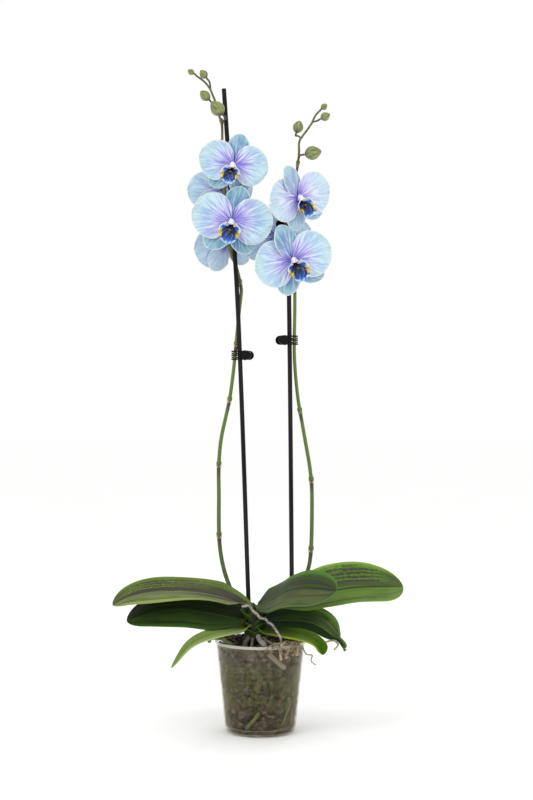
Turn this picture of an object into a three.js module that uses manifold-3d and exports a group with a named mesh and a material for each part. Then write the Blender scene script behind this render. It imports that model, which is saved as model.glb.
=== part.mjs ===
// Potted moth orchid with two staked flower spikes. Millimetres, +Z up, front towards -Y.
// The origin is the centre of the pot's underside.

import * as THREE from "three";
import { mergeVertices } from "three/addons/utils/BufferGeometryUtils.js";
import Module from "manifold-3d";

const wasm = await Module();
wasm.setup();

// Clearance between pieces that touch
const GAP = 0.35;

// Clear pot
const POT_HEIGHT = 120;
const POT_LIP_RADIUS = 60;
const POT_LIP_HEIGHT = 3.4;
const POT_LIP_PROUD = 1.2;
const POT_FOOT_RADIUS = 41.5;
const POT_RIDGE_RADIUS = 47;
const POT_RIDGE_HEIGHT = 9;
const POT_WALL = 1.2;
const POT_FLOOR = 1.8;
const POT_SIDES = 32;
const DRAIN_COUNT = 8;
const DRAIN_RADIUS = 4;
const DRAIN_CIRCLE = 30;
const DRAIN_SIDES = 8;

// Bark filling
const BARK_EDGE_HEIGHT = 112.5;
const BARK_CENTRE_HEIGHT = 114.5;
const BARK_SIDES = 24;
const CHIP_COUNT = 13;
const CHIP_REACH = 43;
const CHIP_TURN = 2.4;
const CHIP_SIZES = [[9, 17], [7, 12], [5, 8]];
const CHIP_TILT = 0.35;
const CHIP_RISE = 3;

// Stem base between the leaves: [radius, height] up its axis
const CROWN_AXIS = [-8, 0];
const CROWN_DEPTH_SHARE = 0.82;
const CROWN_PROFILE = [
  [5, 84],
  [7, 112],
  [9, 130],
  [10.5, 143],
  [10, 153],
  [7.5, 161],
  [3, 165],
];
const CROWN_SIDES = 12;

// Leaves
const LEAF_EDGE_THICKNESS = 0.9;
const LEAF_RIB_THICKNESS = 2.2;
const LEAF_BASE_HALF_WIDTH = 9;
const LEAF_TIP_HALF_WIDTH = 0.6;
const NIB_ROUND_FROM = 0.94;
const LEAF_BASE_FOLD = 44;
const LEAF_ROWS = 10;
const LEAF_COLUMNS = 4;
const TIP_TAPER = 0.58;
const TIP_BLUNTNESS = 2.3;

// Each leaf: its midrib from the stem base to the tip, its greatest half width, and two angles in
// degrees: roll lifts the far edge, and fold lifts both edges into a shallow V. broad is the share of
// its length where it reaches its full width, taper the share where its tip begins to narrow, and
// blunt the roundness of the tip. nearShare, nearBroad and nearTaper are for the half to the front.
// bladeEnd and nib give a blade that ends early in a narrow tongue of that half width.
const LEAVES = {
  leaf_upper_left: {
    rib: [[-11, 0, 158.5], [-26, 1, 167], [-47, 2, 174], [-73, 2, 180], [-106, 0, 183], [-146, -3, 182],
      [-172, -6, 177], [-194, -10, 167]],
    halfWidth: 36,
    roll: 23,
    fold: 4,
    broad: 0.28,
    nearBroad: 0.8,
    nearShare: 0.83,
  },
  leaf_lower_left: {
    rib: [[-9, 0, 146], [-22, 0, 147], [-40, 0, 149.5], [-73, -3, 156], [-106, -6, 159.5],
      [-145, -10, 156.5], [-175, -14, 146.5]],
    halfWidth: 33,
    roll: 34,
    fold: 2,
    broad: 0.14,
    nearBroad: 0.38,
  },
  leaf_small_left: {
    rib: [[-11, -1, 135], [-22, -8, 134.5], [-44, -25, 133.5], [-66, -38, 131], [-90, -53, 121.5],
      [-113, -66, 95]],
    halfWidth: 13.5,
    roll: 14,
    fold: 10,
    broad: 0.3,
    taper: 0.36,
    blunt: 1.4,
  },
  leaf_front_right: {
    rib: [[-5, -1, 162.5], [2, -6, 166], [19, -19, 177], [32, -29, 186], [51, -42, 193], [77, -56, 195],
      [97, -67, 193]],
    halfWidth: 33,
    roll: 37,
    fold: 1,
    broad: 0.09,
    nearBroad: 0.33,
    nearTaper: 0.74,
  },
  leaf_rear_right: {
    rib: [[-7, 0, 152], [6, -1, 155], [19, -1.5, 159], [42, 0, 167], [79, 8, 179], [119, 17, 186],
      [160, 24, 187], [191, 28, 186]],
    halfWidth: 39,
    roll: 41,
    fold: 18,
    broad: 0.55,
    nearShare: 0.93,
    nearTaper: 0.84,
  },
  leaf_middle_right: {
    rib: [[-7, 0, 144], [4, -2, 144.5], [26, -6, 146], [44.9, -9, 146.4], [61.4, -12, 145.1],
      [77.7, -16, 139.7], [94.4, -21, 128.6], [102.7, -24, 123.6], [108.8, -26, 116], [109.5, -26, 109]],
    halfWidth: 27,
    roll: 37,
    fold: 12,
    broad: 0.24,
    nearShare: 0.62,
    taper: 0.6,
    blunt: 2.6,
    bladeEnd: 0.87,
    nib: 4.6,
  },
  leaf_small_right: {
    rib: [[-6, -2, 133], [3, -8, 132.5], [19, -22, 131.5], [38, -36, 131.2], [55, -46, 130.2],
      [69, -53, 126.5], [77, -58, 120.5], [80.5, -63, 111]],
    halfWidth: 15,
    nearShare: 0.85,
    roll: 16,
    fold: 8,
    broad: 0.3,
    taper: 0.7,
    blunt: 2,
  },
};

// Support stakes, slightly bowed
const STAKE_RADIUS = 3;
const STAKE_SIDES = 8;
const STAKE_STEPS = 9;
const STAKES = {
  stake_left: [[-13, 32.5, 13], [-13.7, 32, 99], [-17.1, 29, 195], [-25.2, 20.5, 436], [-31.4, 16, 583],
    [-44, 9.5, 781], [-48.5, 8, 849]],
  stake_right: [[43.2, 13.5, 44], [42.4, 19, 108], [41.7, 24, 206], [39.6, 18.5, 436], [38, 13, 569],
    [36.5, 9.5, 690]],
};

// Flower spikes: the route of each stem, and the heights of the bracts round its nodes
const STEM_SIDES = 6;
const STEM_STEPS = 42;
const STEM_RADII = [3.1, 2.7, 2.35, 2.2, 1.3];
const BRACT_LENGTH = 5;
const BRACT_PROUD = 0.5;
const BRACT_FLARE = 0.25;
const SPIKES = {
  spike_left: {
    route: [[-9, 4, 122], [-14, 14, 127], [-27, 28, 150], [-40, 38, 181], [-49, 39, 207], [-55, 38, 241],
      [-56, 34, 313], [-56, 32, 348], [-53, 30, 383], [-46, 28, 416], [-41.8, 27, 435], [-36.8, 23.5, 470],
      [-34, 20.5, 496], [-31, 23.8, 530], [-27.9, 22.2, 559], [-25.6, 20, 583], [-27.1, 20.6, 592],
      [-29.4, 21.6, 603], [-33.4, 21.9, 617], [-38.3, 20.6, 630], [-42.4, 17.5, 648], [-47.6, 13, 715],
      [-50.6, 8, 768], [-51.3, 5, 803], [-54.2, 5, 811], [-60, 4.5, 832], [-63.2, 4, 840], [-67, 4, 848.5],
      [-74.7, 4, 857.8], [-85.5, 4, 865.7]],
    bracts: [253, 348, 435, 509, 592, 803],
  },
  spike_right: {
    route: [[-7, 3, 121], [6, 12, 127], [30, 34, 150], [52, 44, 180], [63.9, 44.5, 207], [67.5, 45, 226],
      [69.4, 42, 301], [68.5, 40, 327], [65.2, 38, 353], [61.1, 36, 376], [56.3, 33, 403], [50.5, 29, 436],
      [46.8, 24.5, 470], [45.2, 20, 496], [45.1, 17.5, 516], [45.7, 15.5, 556], [45.7, 15.5, 583],
      [44.2, 19, 640], [43.7, 19.5, 668], [45.3, 16, 709], [48.1, 11.5, 738], [51.1, 9, 764],
      [51.5, 8, 779], [56.4, 8, 787], [62.5, 7, 795], [67.9, 6, 803], [73, 6, 813.5], [79.6, 6, 820.5]],
    bracts: [233, 327, 420, 664, 748],
  },
};

// Open blooms. petal is the reach of a petal in mm. yaw 0 faces the front and 180 the rear, and roll
// turns the bloom anticlockwise as its own front is seen. From its axis, lean turns the upper sepal,
// wings the petals and hang the lower sepals. joint is the height where its stalk leaves the stem.
const PEDICEL_RADIUS = 1.5;
const PEDICEL_TAPER = [0.85, 1.15];
const BUD_STALK_SHARE = 0.8;
const STALK_STEPS = 5;
const STALK_SIDES = 4;
// Where a stalk bends, in shares of the span from its start to the bloom: how far behind the bloom, how
// far along towards it, and how far it rises there
const STALK_STRAIGHT = 0.34;
const STALK_MIDDLE = 0.45;
const STALK_RISE = 0.12;
const BLOOMS = {
  left_1: { spike: "spike_left", joint: 756, centre: [-34.8, -20, 743.7], petal: 46, yaw: -10, pitch: 4,
    roll: -10, lean: -6, wings: [82, -86], hang: [139, -153] },
  left_2: { spike: "spike_left", joint: 708, centre: [-53.3, 38, 719.1], petal: 45, yaw: 192, pitch: 3,
    roll: -4, lean: 2, wings: [78, -88], hang: [134, -130] },
  left_3: { spike: "spike_left", joint: 682, centre: [-37.1, -19, 669.9], petal: 53, yaw: -3, pitch: 4,
    roll: -9, lean: -7, wings: [82, -82], hang: [143, -141] },
  left_4: { spike: "spike_left", joint: 640, centre: [-47.2, 37, 644.2], petal: 46, yaw: 213, pitch: 2,
    roll: -18, lean: 3, wings: [86, -86], hang: [134, -128] },
  right_1: { spike: "spike_right", joint: 716, centre: [48.6, -18, 701.5], petal: 49, yaw: 34, pitch: 4,
    roll: 18, lean: 12, wings: [88, -90], hang: [159, -136] },
  right_2: { spike: "spike_right", joint: 650, via: [38, 24, 657], centre: [19.4, 33, 655],
    petal: 50, yaw: 180, pitch: 2, roll: 3, lean: 0, wings: [86, -86], hang: [132, -130] },
  right_3: { spike: "spike_right", joint: 634, centre: [42, -19, 620], petal: 53, yaw: 14, pitch: 4,
    roll: 18, lean: 6, wings: [88, -90], hang: [151, -136] },
};
const SEPAL_SHARE = 0.89;

// Outlines of a petal and a sepal from the hub to the tip: [reach, half width] in shares of its length
const PETAL_OUTLINE = [[0.03, 0.05], [0.09, 0.31], [0.27, 0.52], [0.5, 0.575], [0.74, 0.49], [0.92, 0.29],
  [1, 0.1]];
const SEPAL_OUTLINE = [[0.03, 0.06], [0.24, 0.27], [0.52, 0.36], [0.8, 0.3], [0.95, 0.16], [1, 0.05]];
const TEPAL_THICKNESS = 0.9;
// How far each tepal stands before the hub's middle, how far its rim cups forward, and its wave
const UPPER_SEPAL = { depth: -1.2, cup: 1.5, wave: 0 };
const LOWER_SEPAL = { depth: -1.2, cup: 2.5, wave: 0 };
const REAR_SEPAL = { depth: -2.4, cup: 2.5, wave: 0 };
const PETAL_LAYER = { depth: 1.5, cup: 4 };
const PETAL_WAVE = 1.5;
const HUB_RADIUS = 3.5;
const HUB_BACK = -3;
const HUB_SIDES = 6;
const COLUMN_LENGTH = 9;
const COLUMN_DROOP = 1.2;
const COLUMN_TIP_SHARE = 0.75;

// The lip, in shares of its own size: how its middle lobe runs forward and down, its half widths from the
// foot to the tip, and how far its edges rise for their width
const LIP_SHARE = 0.64;
const LIP_FOOT_FORWARD = 0.11;
const LIP_SPINE = [[0, -0.37, 0.36], [0, -0.6, 0.5], [0, -0.86, 0.42]];
const LIP_HALF_WIDTHS = [0.12, 0.2, 0.4, 0.34, 0.14];
const LIP_EDGE_RISE = 0.3;
// Its two side lobes: where they start beside the column, how far they reach out, the height of their
// middle, their half height at the foot and at the rim, and how much their corners are rounded off
const LOBE_INSIDE = 0.05;
const LOBE_REACH = 0.41;
const LOBE_MIDDLE = -0.31;
const LOBE_HALF_HEIGHTS = [0.14, 0.31];
const LOBE_CORNER_TURN = 1.3;
const LOBE_CORNER_POWER = 0.7;
const LOBE_FOOT_FORWARD = 0.27;
const LOBE_FOOT_SLOPE = 0.137;
const LOBE_RIM_FORWARD = 0.5;
const LOBE_CURL = 0.04;
const LIP_FOOT_THICKNESS = 2.6;
const LOBE_FOOT_THICKNESS = 1.6;

const BUD_ROWS = 6;
const BUD_SIDES = 8;

// Buds: centre, length, width, the direction from base to tip, and the height where its stalk starts
const BUDS = {
  bud_left_1: { spike: "spike_left", joint: 865, centre: [-92, 4, 870.5], length: 10, width: 8,
    aim: [-0.85, 0, 0.52] },
  bud_left_2: { spike: "spike_left", joint: 846, centre: [-75.2, 0, 866.6], length: 13, width: 11,
    aim: [-0.62, -0.1, 0.78] },
  bud_left_3: { spike: "spike_left", joint: 826, centre: [-73.4, 2, 838.8], length: 17, width: 13,
    aim: [-0.7, 0, 0.71] },
  bud_left_4: { spike: "spike_left", joint: 800, centre: [-57, -8, 820], length: 23, width: 18.5,
    aim: [-0.66, -0.1, 0.74] },
  bud_left_5: { spike: "spike_left", joint: 765, centre: [-64, 20, 769.5], length: 22, width: 19,
    aim: [-0.8, 0.35, 0.49] },
  bud_right_1: { spike: "spike_right", joint: 820, centre: [84.4, 6, 825], length: 10, width: 8.5,
    aim: [0.75, 0, 0.66] },
  bud_right_2: { spike: "spike_right", joint: 800, centre: [85.8, 3, 811.4], length: 14, width: 11.5,
    aim: [0.88, -0.1, 0.46] },
  bud_right_3: { spike: "spike_right", joint: 783, centre: [50.2, 14, 799.8], length: 18, width: 14,
    aim: [0.28, 0.2, 0.94] },
  bud_right_4: { spike: "spike_right", joint: 750, centre: [69.5, -1, 762.6], length: 23, width: 18.5,
    aim: [0.97, -0.15, 0.17] },
};

// Roots above the bark: each is a list of branches, [radius at the start, radius at the tip, route]
const ROOTS = {
  root_long_front: [
    [1.9, 1.4, [[-24, -17, 166], [-15, -18, 167], [-9, -18, 160], [-1, -22, 153], [7, -28, 151],
      [14, -35, 146], [21, -44.5, 138.5], [26, -47.5, 131], [27, -44, 121], [27, -42, 107]]],
  ],
  root_stilt_front: [[3.2, 3.6, [[-4, -4, 130], [-2, -14, 124], [5, -24, 116], [9, -30, 107]]]],
  root_stilt_left: [[3, 3, [[-13, -4, 128], [-19, -11, 120], [-22, -16, 108]]]],
  root_stilt_middle: [[1.9, 2.2, [[-9.8, -5, 126], [-10.8, -14, 118], [-12, -19, 107]]]],
  root_stilt_rear: [[2.4, 2.6, [[-7, 4, 113], [-6.5, 14, 112.5], [-6, 24, 105]]]],
  root_left_rim: [[2.6, 2.8, [[-30, -6, 105], [-38, -10, 115], [-50, -14, 123.5], [-60, -14, 125],
    [-66, -14, 123.5], [-67.5, -14, 118]]]],
  roots_right_rim: [
    [2.6, 2.1, [[0, -4, 124], [14, -14, 118], [27, -26, 116], [35, -35, 119.5], [40, -41, 124.4]]],
    [2.2, 1.9, [[35, -35, 119.5], [31, -49, 124], [27, -57.5, 122], [26, -61.5, 113], [26.5, -61.5, 103]]],
    [1.9, 2.1, [[39, -40, 123.8], [41, -50, 123.5], [38, -57, 119], [34, -60.5, 111], [33, -60.5, 105]]],
    [1.8, 1.9, [[40, -41, 124.4], [48, -47, 123], [48, -50.5, 116], [46, -52.5, 107.5]]],
    [1.4, 1, [[40, -41, 124.4], [48, -45, 124], [55, -44, 116], [60, -43, 108], [67, -43, 107],
      [65.5, -43, 100], [72, -43, 94]]],
    [2, 1.4, [[35, -35, 119.5], [50, -34, 124.4], [64, -33, 124], [82, -34, 122], [95, -34, 124.5],
      [101, -34, 119], [95, -34, 112]]],
  ],
};
const ROOT_SIDES = 5;

// Claw clips that tie stem and stake. towards is +1 where the claws point to +X. Each turns about an
// upright hinge beside the stake: the front jaw swings, and the rear jaw carries the hinge pin.
const CLIPS = {
  clip_left: { stake: "stake_left", spike: "spike_left", height: 496, towards: -1 },
  clip_right: { stake: "stake_right", spike: "spike_right", height: 516, towards: 1 },
  clip_top: { stake: "stake_right", spike: "spike_right", height: 668.5, towards: 1 },
};
const PIVOT_TO_STAKE = 6.7;
const CLIP_HALF_HEIGHT = 6.2;
const PIN_RADIUS = 1.1;
const PIN_ROOM = 0.3;
const PIN_PROUD = 0.5;
const PIN_SIDES = 10;
const LUG_RADIUS = 2.4;
const LUG_FOOT = 1.7;
const FRONT_LUG_INSIDE = 3.9;
const REAR_LUG_OUTSIDE = 3.6;
const SPRING_HALF_HEIGHT = 1.3;
const SPRING_RADII = [1.4, 2.3];
const SPRING_SIDES = 8;
const WEB_ENDS = [-5, 3];
const CLIP_PAD_RADIUS = 6.3;
const CLIP_PAD_CENTRE = 4.9;
const CLIP_PAD_SPLAY = 13;
const CLIP_PAD_THICKNESS = 1.7;
const CLIP_PAD_BEHIND = 1.2;
const CLIP_PAD_SIDES = 12;
const FINGER_THICKNESS = 2;
const FINGER_PITCH = 5.2;
const CAVITY_HALF_DEPTH = 4.15;
const CLAW_HALF_THICKNESS = 0.7;
const CLAW_ROOM = 0.4;
// The claw's line from its bend to its tip, measured from its reach
const CLAW_BEND = -3;
const CLAW_TIP = [[0.5, -1.6], [0.2, 1.4]];

const COLOURS = {
  pot: [0x9a9587, 0.25],
  bark: [0x4b3a2b, 0.95],
  crown: [0x4d6b2a, 0.55],
  leaf: [0x3c5a2a, 0.45],
  youngLeaf: [0x6f8f3c, 0.45],
  root: [0x9b9284, 0.85],
  stem: [0x5c6b2c, 0.5],
  tepal: [0xa9b9ec, 0.6],
  lip: [0x2a2c7a, 0.5],
  bud: [0x7f8f56, 0.55],
  black: [0x131214, 0.35],
  steel: [0x8b8d90, 0.35],
};

const UP = new THREE.Vector3(0, 0, 1);

const vector = ([x, y, z]) => new THREE.Vector3(x, y, z);
const radians = THREE.MathUtils.degToRad;
const smooth = THREE.MathUtils.smoothstep;
const lerp = THREE.MathUtils.lerp;
const unit = (value) => THREE.MathUtils.clamp(value, 0, 1);

// The value at the share t along evenly spaced entries
function along(entries, t) {
  const place = t * (entries.length - 1);
  const low = Math.min(Math.floor(place), entries.length - 2);
  return lerp(entries[low], entries[low + 1], place - low);
}

// Repeatable random numbers from 0 to 1
function randomFrom(seed) {
  let state = seed;
  return () => {
    state = (state * 1664525 + 1013904223) % 4294967296;
    return state / 4294967296;
  };
}

function solidOf(geometry) {
  const bare = new THREE.BufferGeometry().setAttribute("position", geometry.getAttribute("position"));
  if (geometry.index) bare.setIndex(geometry.index);
  const merged = mergeVertices(bare, 1e-4);
  return new wasm.Manifold(
    new wasm.Mesh({
      numProp: 3,
      vertProperties: new Float32Array(merged.attributes.position.array),
      triVerts: new Uint32Array(merged.index.array),
    }),
  );
}

function geometryOf(solid) {
  const mesh = solid.getMesh();
  const geometry = new THREE.BufferGeometry()
    .setAttribute("position", new THREE.BufferAttribute(mesh.vertProperties, mesh.numProp))
    .setIndex(new THREE.BufferAttribute(mesh.triVerts, 1));
  geometry.computeVertexNormals();
  return geometry;
}

const joined = (solids) => solids.reduce((whole, solid) => whole.add(solid));

// The largest closed body of a solid, without scraps and sealed hollows
const largestOf = (solid) => solid.decompose().reduce((a, b) => (a.volume() > b.volume() ? a : b));

function closedGeometry(points, faces) {
  return new THREE.BufferGeometry().setFromPoints(points).setIndex(faces);
}

// A thin closed sheet round the surface at(u, v), u from -1 to 1 and v from 0 to 1, with both faces
// split alike. thickness is a function of u and v.
function blade(at, columns, rows, thickness) {
  const step = 1e-3;
  const points = [[], []];
  for (let j = 0; j <= rows; j++) {
    for (let i = 0; i <= columns; i++) {
      const u = -1 + (2 * i) / columns;
      const v = j / rows;
      const ahead = at(u, Math.min(v + step, 1)).sub(at(u, Math.max(v - step, 0)));
      const across = at(Math.min(u + step, 1), v).sub(at(Math.max(u - step, -1), v));
      const half = across.cross(ahead).normalize().multiplyScalar(thickness(u, v) / 2);
      const middle = at(u, v);
      points[0].push(middle.clone().add(half));
      points[1].push(middle.sub(half));
    }
  }
  const count = points[0].length;
  const top = (i, j) => j * (columns + 1) + i;
  const low = (i, j) => top(i, j) + count;
  const faces = [];
  const quad = (a, b, c, d) => faces.push(a, b, c, a, c, d);
  for (let j = 0; j < rows; j++) {
    for (let i = 0; i < columns; i++) {
      quad(top(i, j), top(i + 1, j), top(i + 1, j + 1), top(i, j + 1));
      faces.push(low(i, j), low(i + 1, j + 1), low(i + 1, j));
      faces.push(low(i, j), low(i, j + 1), low(i + 1, j + 1));
    }
  }
  for (let i = 0; i < columns; i++) {
    quad(low(i, 0), low(i + 1, 0), top(i + 1, 0), top(i, 0));
    quad(low(i + 1, rows), low(i, rows), top(i, rows), top(i + 1, rows));
  }
  for (let j = 0; j < rows; j++) {
    quad(low(0, j), top(0, j), top(0, j + 1), low(0, j + 1));
    quad(top(columns, j), low(columns, j), low(columns, j + 1), top(columns, j + 1));
  }
  return closedGeometry([...points[0], ...points[1]], faces);
}

const smoothCurve = (route) => new THREE.CatmullRomCurve3(route.map(vector), false, "centripetal");

// A closed tube round a curve whose radius is a function of the share t of its length
function limb(curve, radiusAt, steps, sides) {
  const frames = curve.computeFrenetFrames(steps, false);
  const points = [];
  const faces = [];
  for (let j = 0; j <= steps; j++) {
    const middle = curve.getPointAt(j / steps);
    for (let i = 0; i < sides; i++) {
      const turn = (2 * Math.PI * i) / sides;
      const radius = radiusAt(j / steps);
      points.push(
        middle
          .clone()
          .addScaledVector(frames.normals[j], radius * Math.cos(turn))
          .addScaledVector(frames.binormals[j], radius * Math.sin(turn)),
      );
    }
  }
  const at = (i, j) => j * sides + (i % sides);
  for (let j = 0; j < steps; j++) {
    for (let i = 0; i < sides; i++) {
      faces.push(at(i, j), at(i + 1, j), at(i + 1, j + 1), at(i, j), at(i + 1, j + 1), at(i, j + 1));
    }
  }
  for (let i = 1; i < sides - 1; i++) {
    faces.push(at(0, 0), at(i + 1, 0), at(i, 0), at(0, steps), at(i, steps), at(i + 1, steps));
  }
  return closedGeometry(points, faces);
}

// A solid of revolution about Z from [radius, height] pairs that go round its section anticlockwise
function turned(profile, sides) {
  const points = profile.map(([radius, height]) => new THREE.Vector2(radius, height));
  return new THREE.LatheGeometry(points, sides).rotateX(Math.PI / 2);
}

// A flat outline in X and Y, raised from one height to another
function slab(outline, low, high) {
  const shape = new THREE.Shape(outline.map(([x, y]) => new THREE.Vector2(x, y)));
  return new THREE.ExtrudeGeometry(shape, { depth: high - low, bevelEnabled: false }).translate(0, 0, low);
}

const group = new THREE.Group();

function addMesh(parent, name, geometry, [colour, roughness]) {
  const material = new THREE.MeshStandardMaterial({ color: colour, roughness, metalness: 0 });
  const mesh = new THREE.Mesh(geometry, material);
  mesh.name = name;
  parent.add(mesh);
  return mesh;
}

// The radius of the pot's inner wall at a height
const innerRadiusAt = (height) =>
  lerp(
    POT_RIDGE_RADIUS - POT_WALL,
    POT_LIP_RADIUS - POT_LIP_PROUD - POT_WALL,
    (height - POT_RIDGE_HEIGHT) / (POT_HEIGHT - POT_LIP_HEIGHT - POT_RIDGE_HEIGHT),
  );

function potSolid() {
  const wallTop = POT_LIP_RADIUS - POT_LIP_PROUD;
  const lipFoot = POT_HEIGHT - POT_LIP_HEIGHT;
  const body = turned(
    [
      [0, 0],
      [POT_FOOT_RADIUS, 0],
      [POT_FOOT_RADIUS + 3.8, 2.6],
      [POT_RIDGE_RADIUS, POT_RIDGE_HEIGHT],
      [wallTop, lipFoot],
      [POT_LIP_RADIUS, lipFoot + 0.4],
      [POT_LIP_RADIUS, POT_HEIGHT],
      [innerRadiusAt(POT_HEIGHT), POT_HEIGHT],
      [POT_RIDGE_RADIUS - POT_WALL, POT_RIDGE_HEIGHT],
      [POT_FOOT_RADIUS + 2.6, 3.9],
      [POT_FOOT_RADIUS - 0.8, POT_FLOOR],
      [0, POT_FLOOR],
    ],
    POT_SIDES,
  );
  const drains = [];
  for (let i = 0; i < DRAIN_COUNT; i++) {
    const turn = (2 * Math.PI * (i + 0.5)) / DRAIN_COUNT;
    const drain = new THREE.CylinderGeometry(DRAIN_RADIUS, DRAIN_RADIUS, 4 * POT_FLOOR, DRAIN_SIDES)
      .rotateX(Math.PI / 2)
      .translate(DRAIN_CIRCLE * Math.cos(turn), DRAIN_CIRCLE * Math.sin(turn), 0);
    drains.push(solidOf(drain));
  }
  return drains.reduce((pot, drain) => pot.subtract(drain), solidOf(body));
}

function crownSolid(grow) {
  const rings = CROWN_PROFILE.map(([radius, height]) => [radius + grow, height]);
  const lowest = rings[0][1] - grow;
  const highest = rings[rings.length - 1][1] + grow;
  const profile = [[0, lowest], ...rings, [0, highest]];
  const body = turned(profile, CROWN_SIDES)
    .scale(1, CROWN_DEPTH_SHARE, 1)
    .translate(CROWN_AXIS[0], CROWN_AXIS[1], 0);
  return solidOf(body);
}

// Bark chips: rough blocks laid at random, sunk into the top of the filling
function chipSolids() {
  const random = randomFrom(7);
  const chips = [];
  for (let i = 0; i < CHIP_COUNT; i++) {
    const turn = CHIP_TURN * i;
    const reach = CHIP_REACH * Math.sqrt((i + 0.6) / CHIP_COUNT);
    const size = CHIP_SIZES.map(([least, most]) => lerp(least, most, random()));
    const chip = new THREE.BoxGeometry(...size)
      .rotateX(lerp(-CHIP_TILT, CHIP_TILT, random()))
      .rotateY(lerp(-CHIP_TILT, CHIP_TILT, random()))
      .rotateZ(lerp(0, Math.PI, random()))
      .translate(reach * Math.cos(turn), reach * Math.sin(turn), BARK_EDGE_HEIGHT + CHIP_RISE * random());
    chips.push(solidOf(chip));
  }
  return chips;
}

function barkSolid(holes) {
  const floor = POT_FLOOR + GAP;
  const body = turned(
    [
      [0, floor],
      [POT_FOOT_RADIUS - 1.4, floor],
      [POT_FOOT_RADIUS + 1.8, 4.2],
      [POT_RIDGE_RADIUS - POT_WALL - GAP, POT_RIDGE_HEIGHT + 0.2],
      [innerRadiusAt(BARK_EDGE_HEIGHT) - GAP - 0.1, BARK_EDGE_HEIGHT],
      [0, BARK_CENTRE_HEIGHT],
    ],
    BARK_SIDES,
  );
  const heap = joined([solidOf(body), ...chipSolids()]);
  return largestOf(holes.reduce((bark, hole) => bark.subtract(hole), heap));
}

// The half width of a leaf at the share v of its length, on its near or far half
function leafHalfWidth(leaf, near, v) {
  const { halfWidth, broad, nearBroad = broad, taper = TIP_TAPER, nearTaper = taper } = leaf;
  const { nearShare = 1, blunt = TIP_BLUNTNESS, bladeEnd = 1, nib = 0 } = leaf;
  const from = near ? nearTaper : taper;
  const beyond = unit((v / bladeEnd - from) / (1 - from));
  const full = halfWidth * (near ? nearShare : 1);
  const width = lerp(LEAF_BASE_HALF_WIDTH, full, smooth(v, 0, near ? nearBroad : broad));
  const blade = width * Math.pow(1 - Math.pow(beyond, blunt), 0.6);
  const beyondNib = unit((v - NIB_ROUND_FROM) / (1 - NIB_ROUND_FROM));
  return Math.max(blade, nib * Math.sqrt(1 - beyondNib * beyondNib), LEAF_TIP_HALF_WIDTH);
}

// The leaf's surface: the midrib's curve, with the two halves raised by the roll and the fold. The
// halves clasp the stem base in a deeper V, and level out as the blade widens.
function leafSurface(leaf) {
  const { rib, roll, fold, broad } = leaf;
  const curve = smoothCurve(rib);
  const towards = vector(rib[rib.length - 1]).x > vector(rib[0]).x ? -1 : 1;
  return (u, v) => {
    const spread = smooth(v, 0.02, 0.03 + 0.55 * broad);
    const width = leafHalfWidth(leaf, u * towards < 0, v);
    const lift = radians(lerp(LEAF_BASE_FOLD, fold, spread));
    const turn = radians(roll * spread) * towards;
    const ahead = curve.getTangentAt(v);
    const level = new THREE.Vector3().crossVectors(ahead, UP).normalize();
    const up = new THREE.Vector3().crossVectors(level, ahead).normalize();
    const side = level.clone().multiplyScalar(Math.cos(turn)).addScaledVector(up, Math.sin(turn));
    const normal = up.multiplyScalar(Math.cos(turn)).addScaledVector(level, -Math.sin(turn));
    return curve
      .getPointAt(v)
      .addScaledVector(side, u * width * Math.cos(lift))
      .addScaledVector(normal, Math.abs(u) * width * Math.sin(lift));
  };
}

function leafSolid(leaf) {
  const thickness = (u, v) => lerp(LEAF_RIB_THICKNESS, LEAF_EDGE_THICKNESS, Math.max(Math.abs(u), v * 0.7));
  return solidOf(blade(leafSurface(leaf), LEAF_COLUMNS, LEAF_ROWS, thickness));
}

function stakeSolid(route, grow) {
  return solidOf(limb(smoothCurve(route), () => STAKE_RADIUS + grow, STAKE_STEPS, STAKE_SIDES));
}

// The radius of a flower stem at the share t of its length
const stemRadiusAt = (t) => along(STEM_RADII, t);

// The share of a stem's length at which it first passes a height
function shareAtHeight(curve, height) {
  let share = 0;
  while (share < 1 && curve.getPointAt(share).z < height) share += 0.001;
  return Math.min(share, 1);
}

function bractSolid(curve, height) {
  const share = shareAtHeight(curve, height);
  const reach = BRACT_LENGTH / 2 / curve.getLength();
  const ends = [curve.getPointAt(Math.max(share - reach, 0)), curve.getPointAt(Math.min(share + reach, 1))];
  const radius = stemRadiusAt(share) + BRACT_PROUD;
  return solidOf(limb(new THREE.LineCurve3(...ends), (t) => radius + BRACT_FLARE * t, 1, STEM_SIDES));
}

// The stalk from the stem to a bloom or bud whose back is at a point and looks along a direction. It
// rises a little on its way, or goes by the point via.
function pedicelSolid(curve, height, back, facing, radius, via) {
  const start = curve.getPointAt(shareAtHeight(curve, height));
  const span = start.distanceTo(back);
  const end = back.clone().addScaledVector(facing, -GAP);
  const bend = end.clone().addScaledVector(facing, -span * STALK_STRAIGHT);
  const rise = start.clone().lerp(bend, STALK_MIDDLE).addScaledVector(UP, span * STALK_RISE);
  const path = new THREE.CatmullRomCurve3([start, via ? vector(via) : rise, bend, end], false, "centripetal");
  return solidOf(limb(path, (t) => radius * lerp(...PEDICEL_TAPER, t), STALK_STEPS, STALK_SIDES));
}

// A bloom's own frame: x to its right, y up and z out of its face
function bloomMatrix({ centre, yaw, pitch, roll }) {
  const stand = new THREE.Matrix4().makeRotationX(Math.PI / 2);
  return new THREE.Matrix4()
    .makeTranslation(...centre)
    .multiply(new THREE.Matrix4().makeRotationZ(radians(yaw)))
    .multiply(stand)
    .multiply(new THREE.Matrix4().makeRotationX(radians(pitch)))
    .multiply(new THREE.Matrix4().makeRotationZ(radians(roll)));
}

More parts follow.
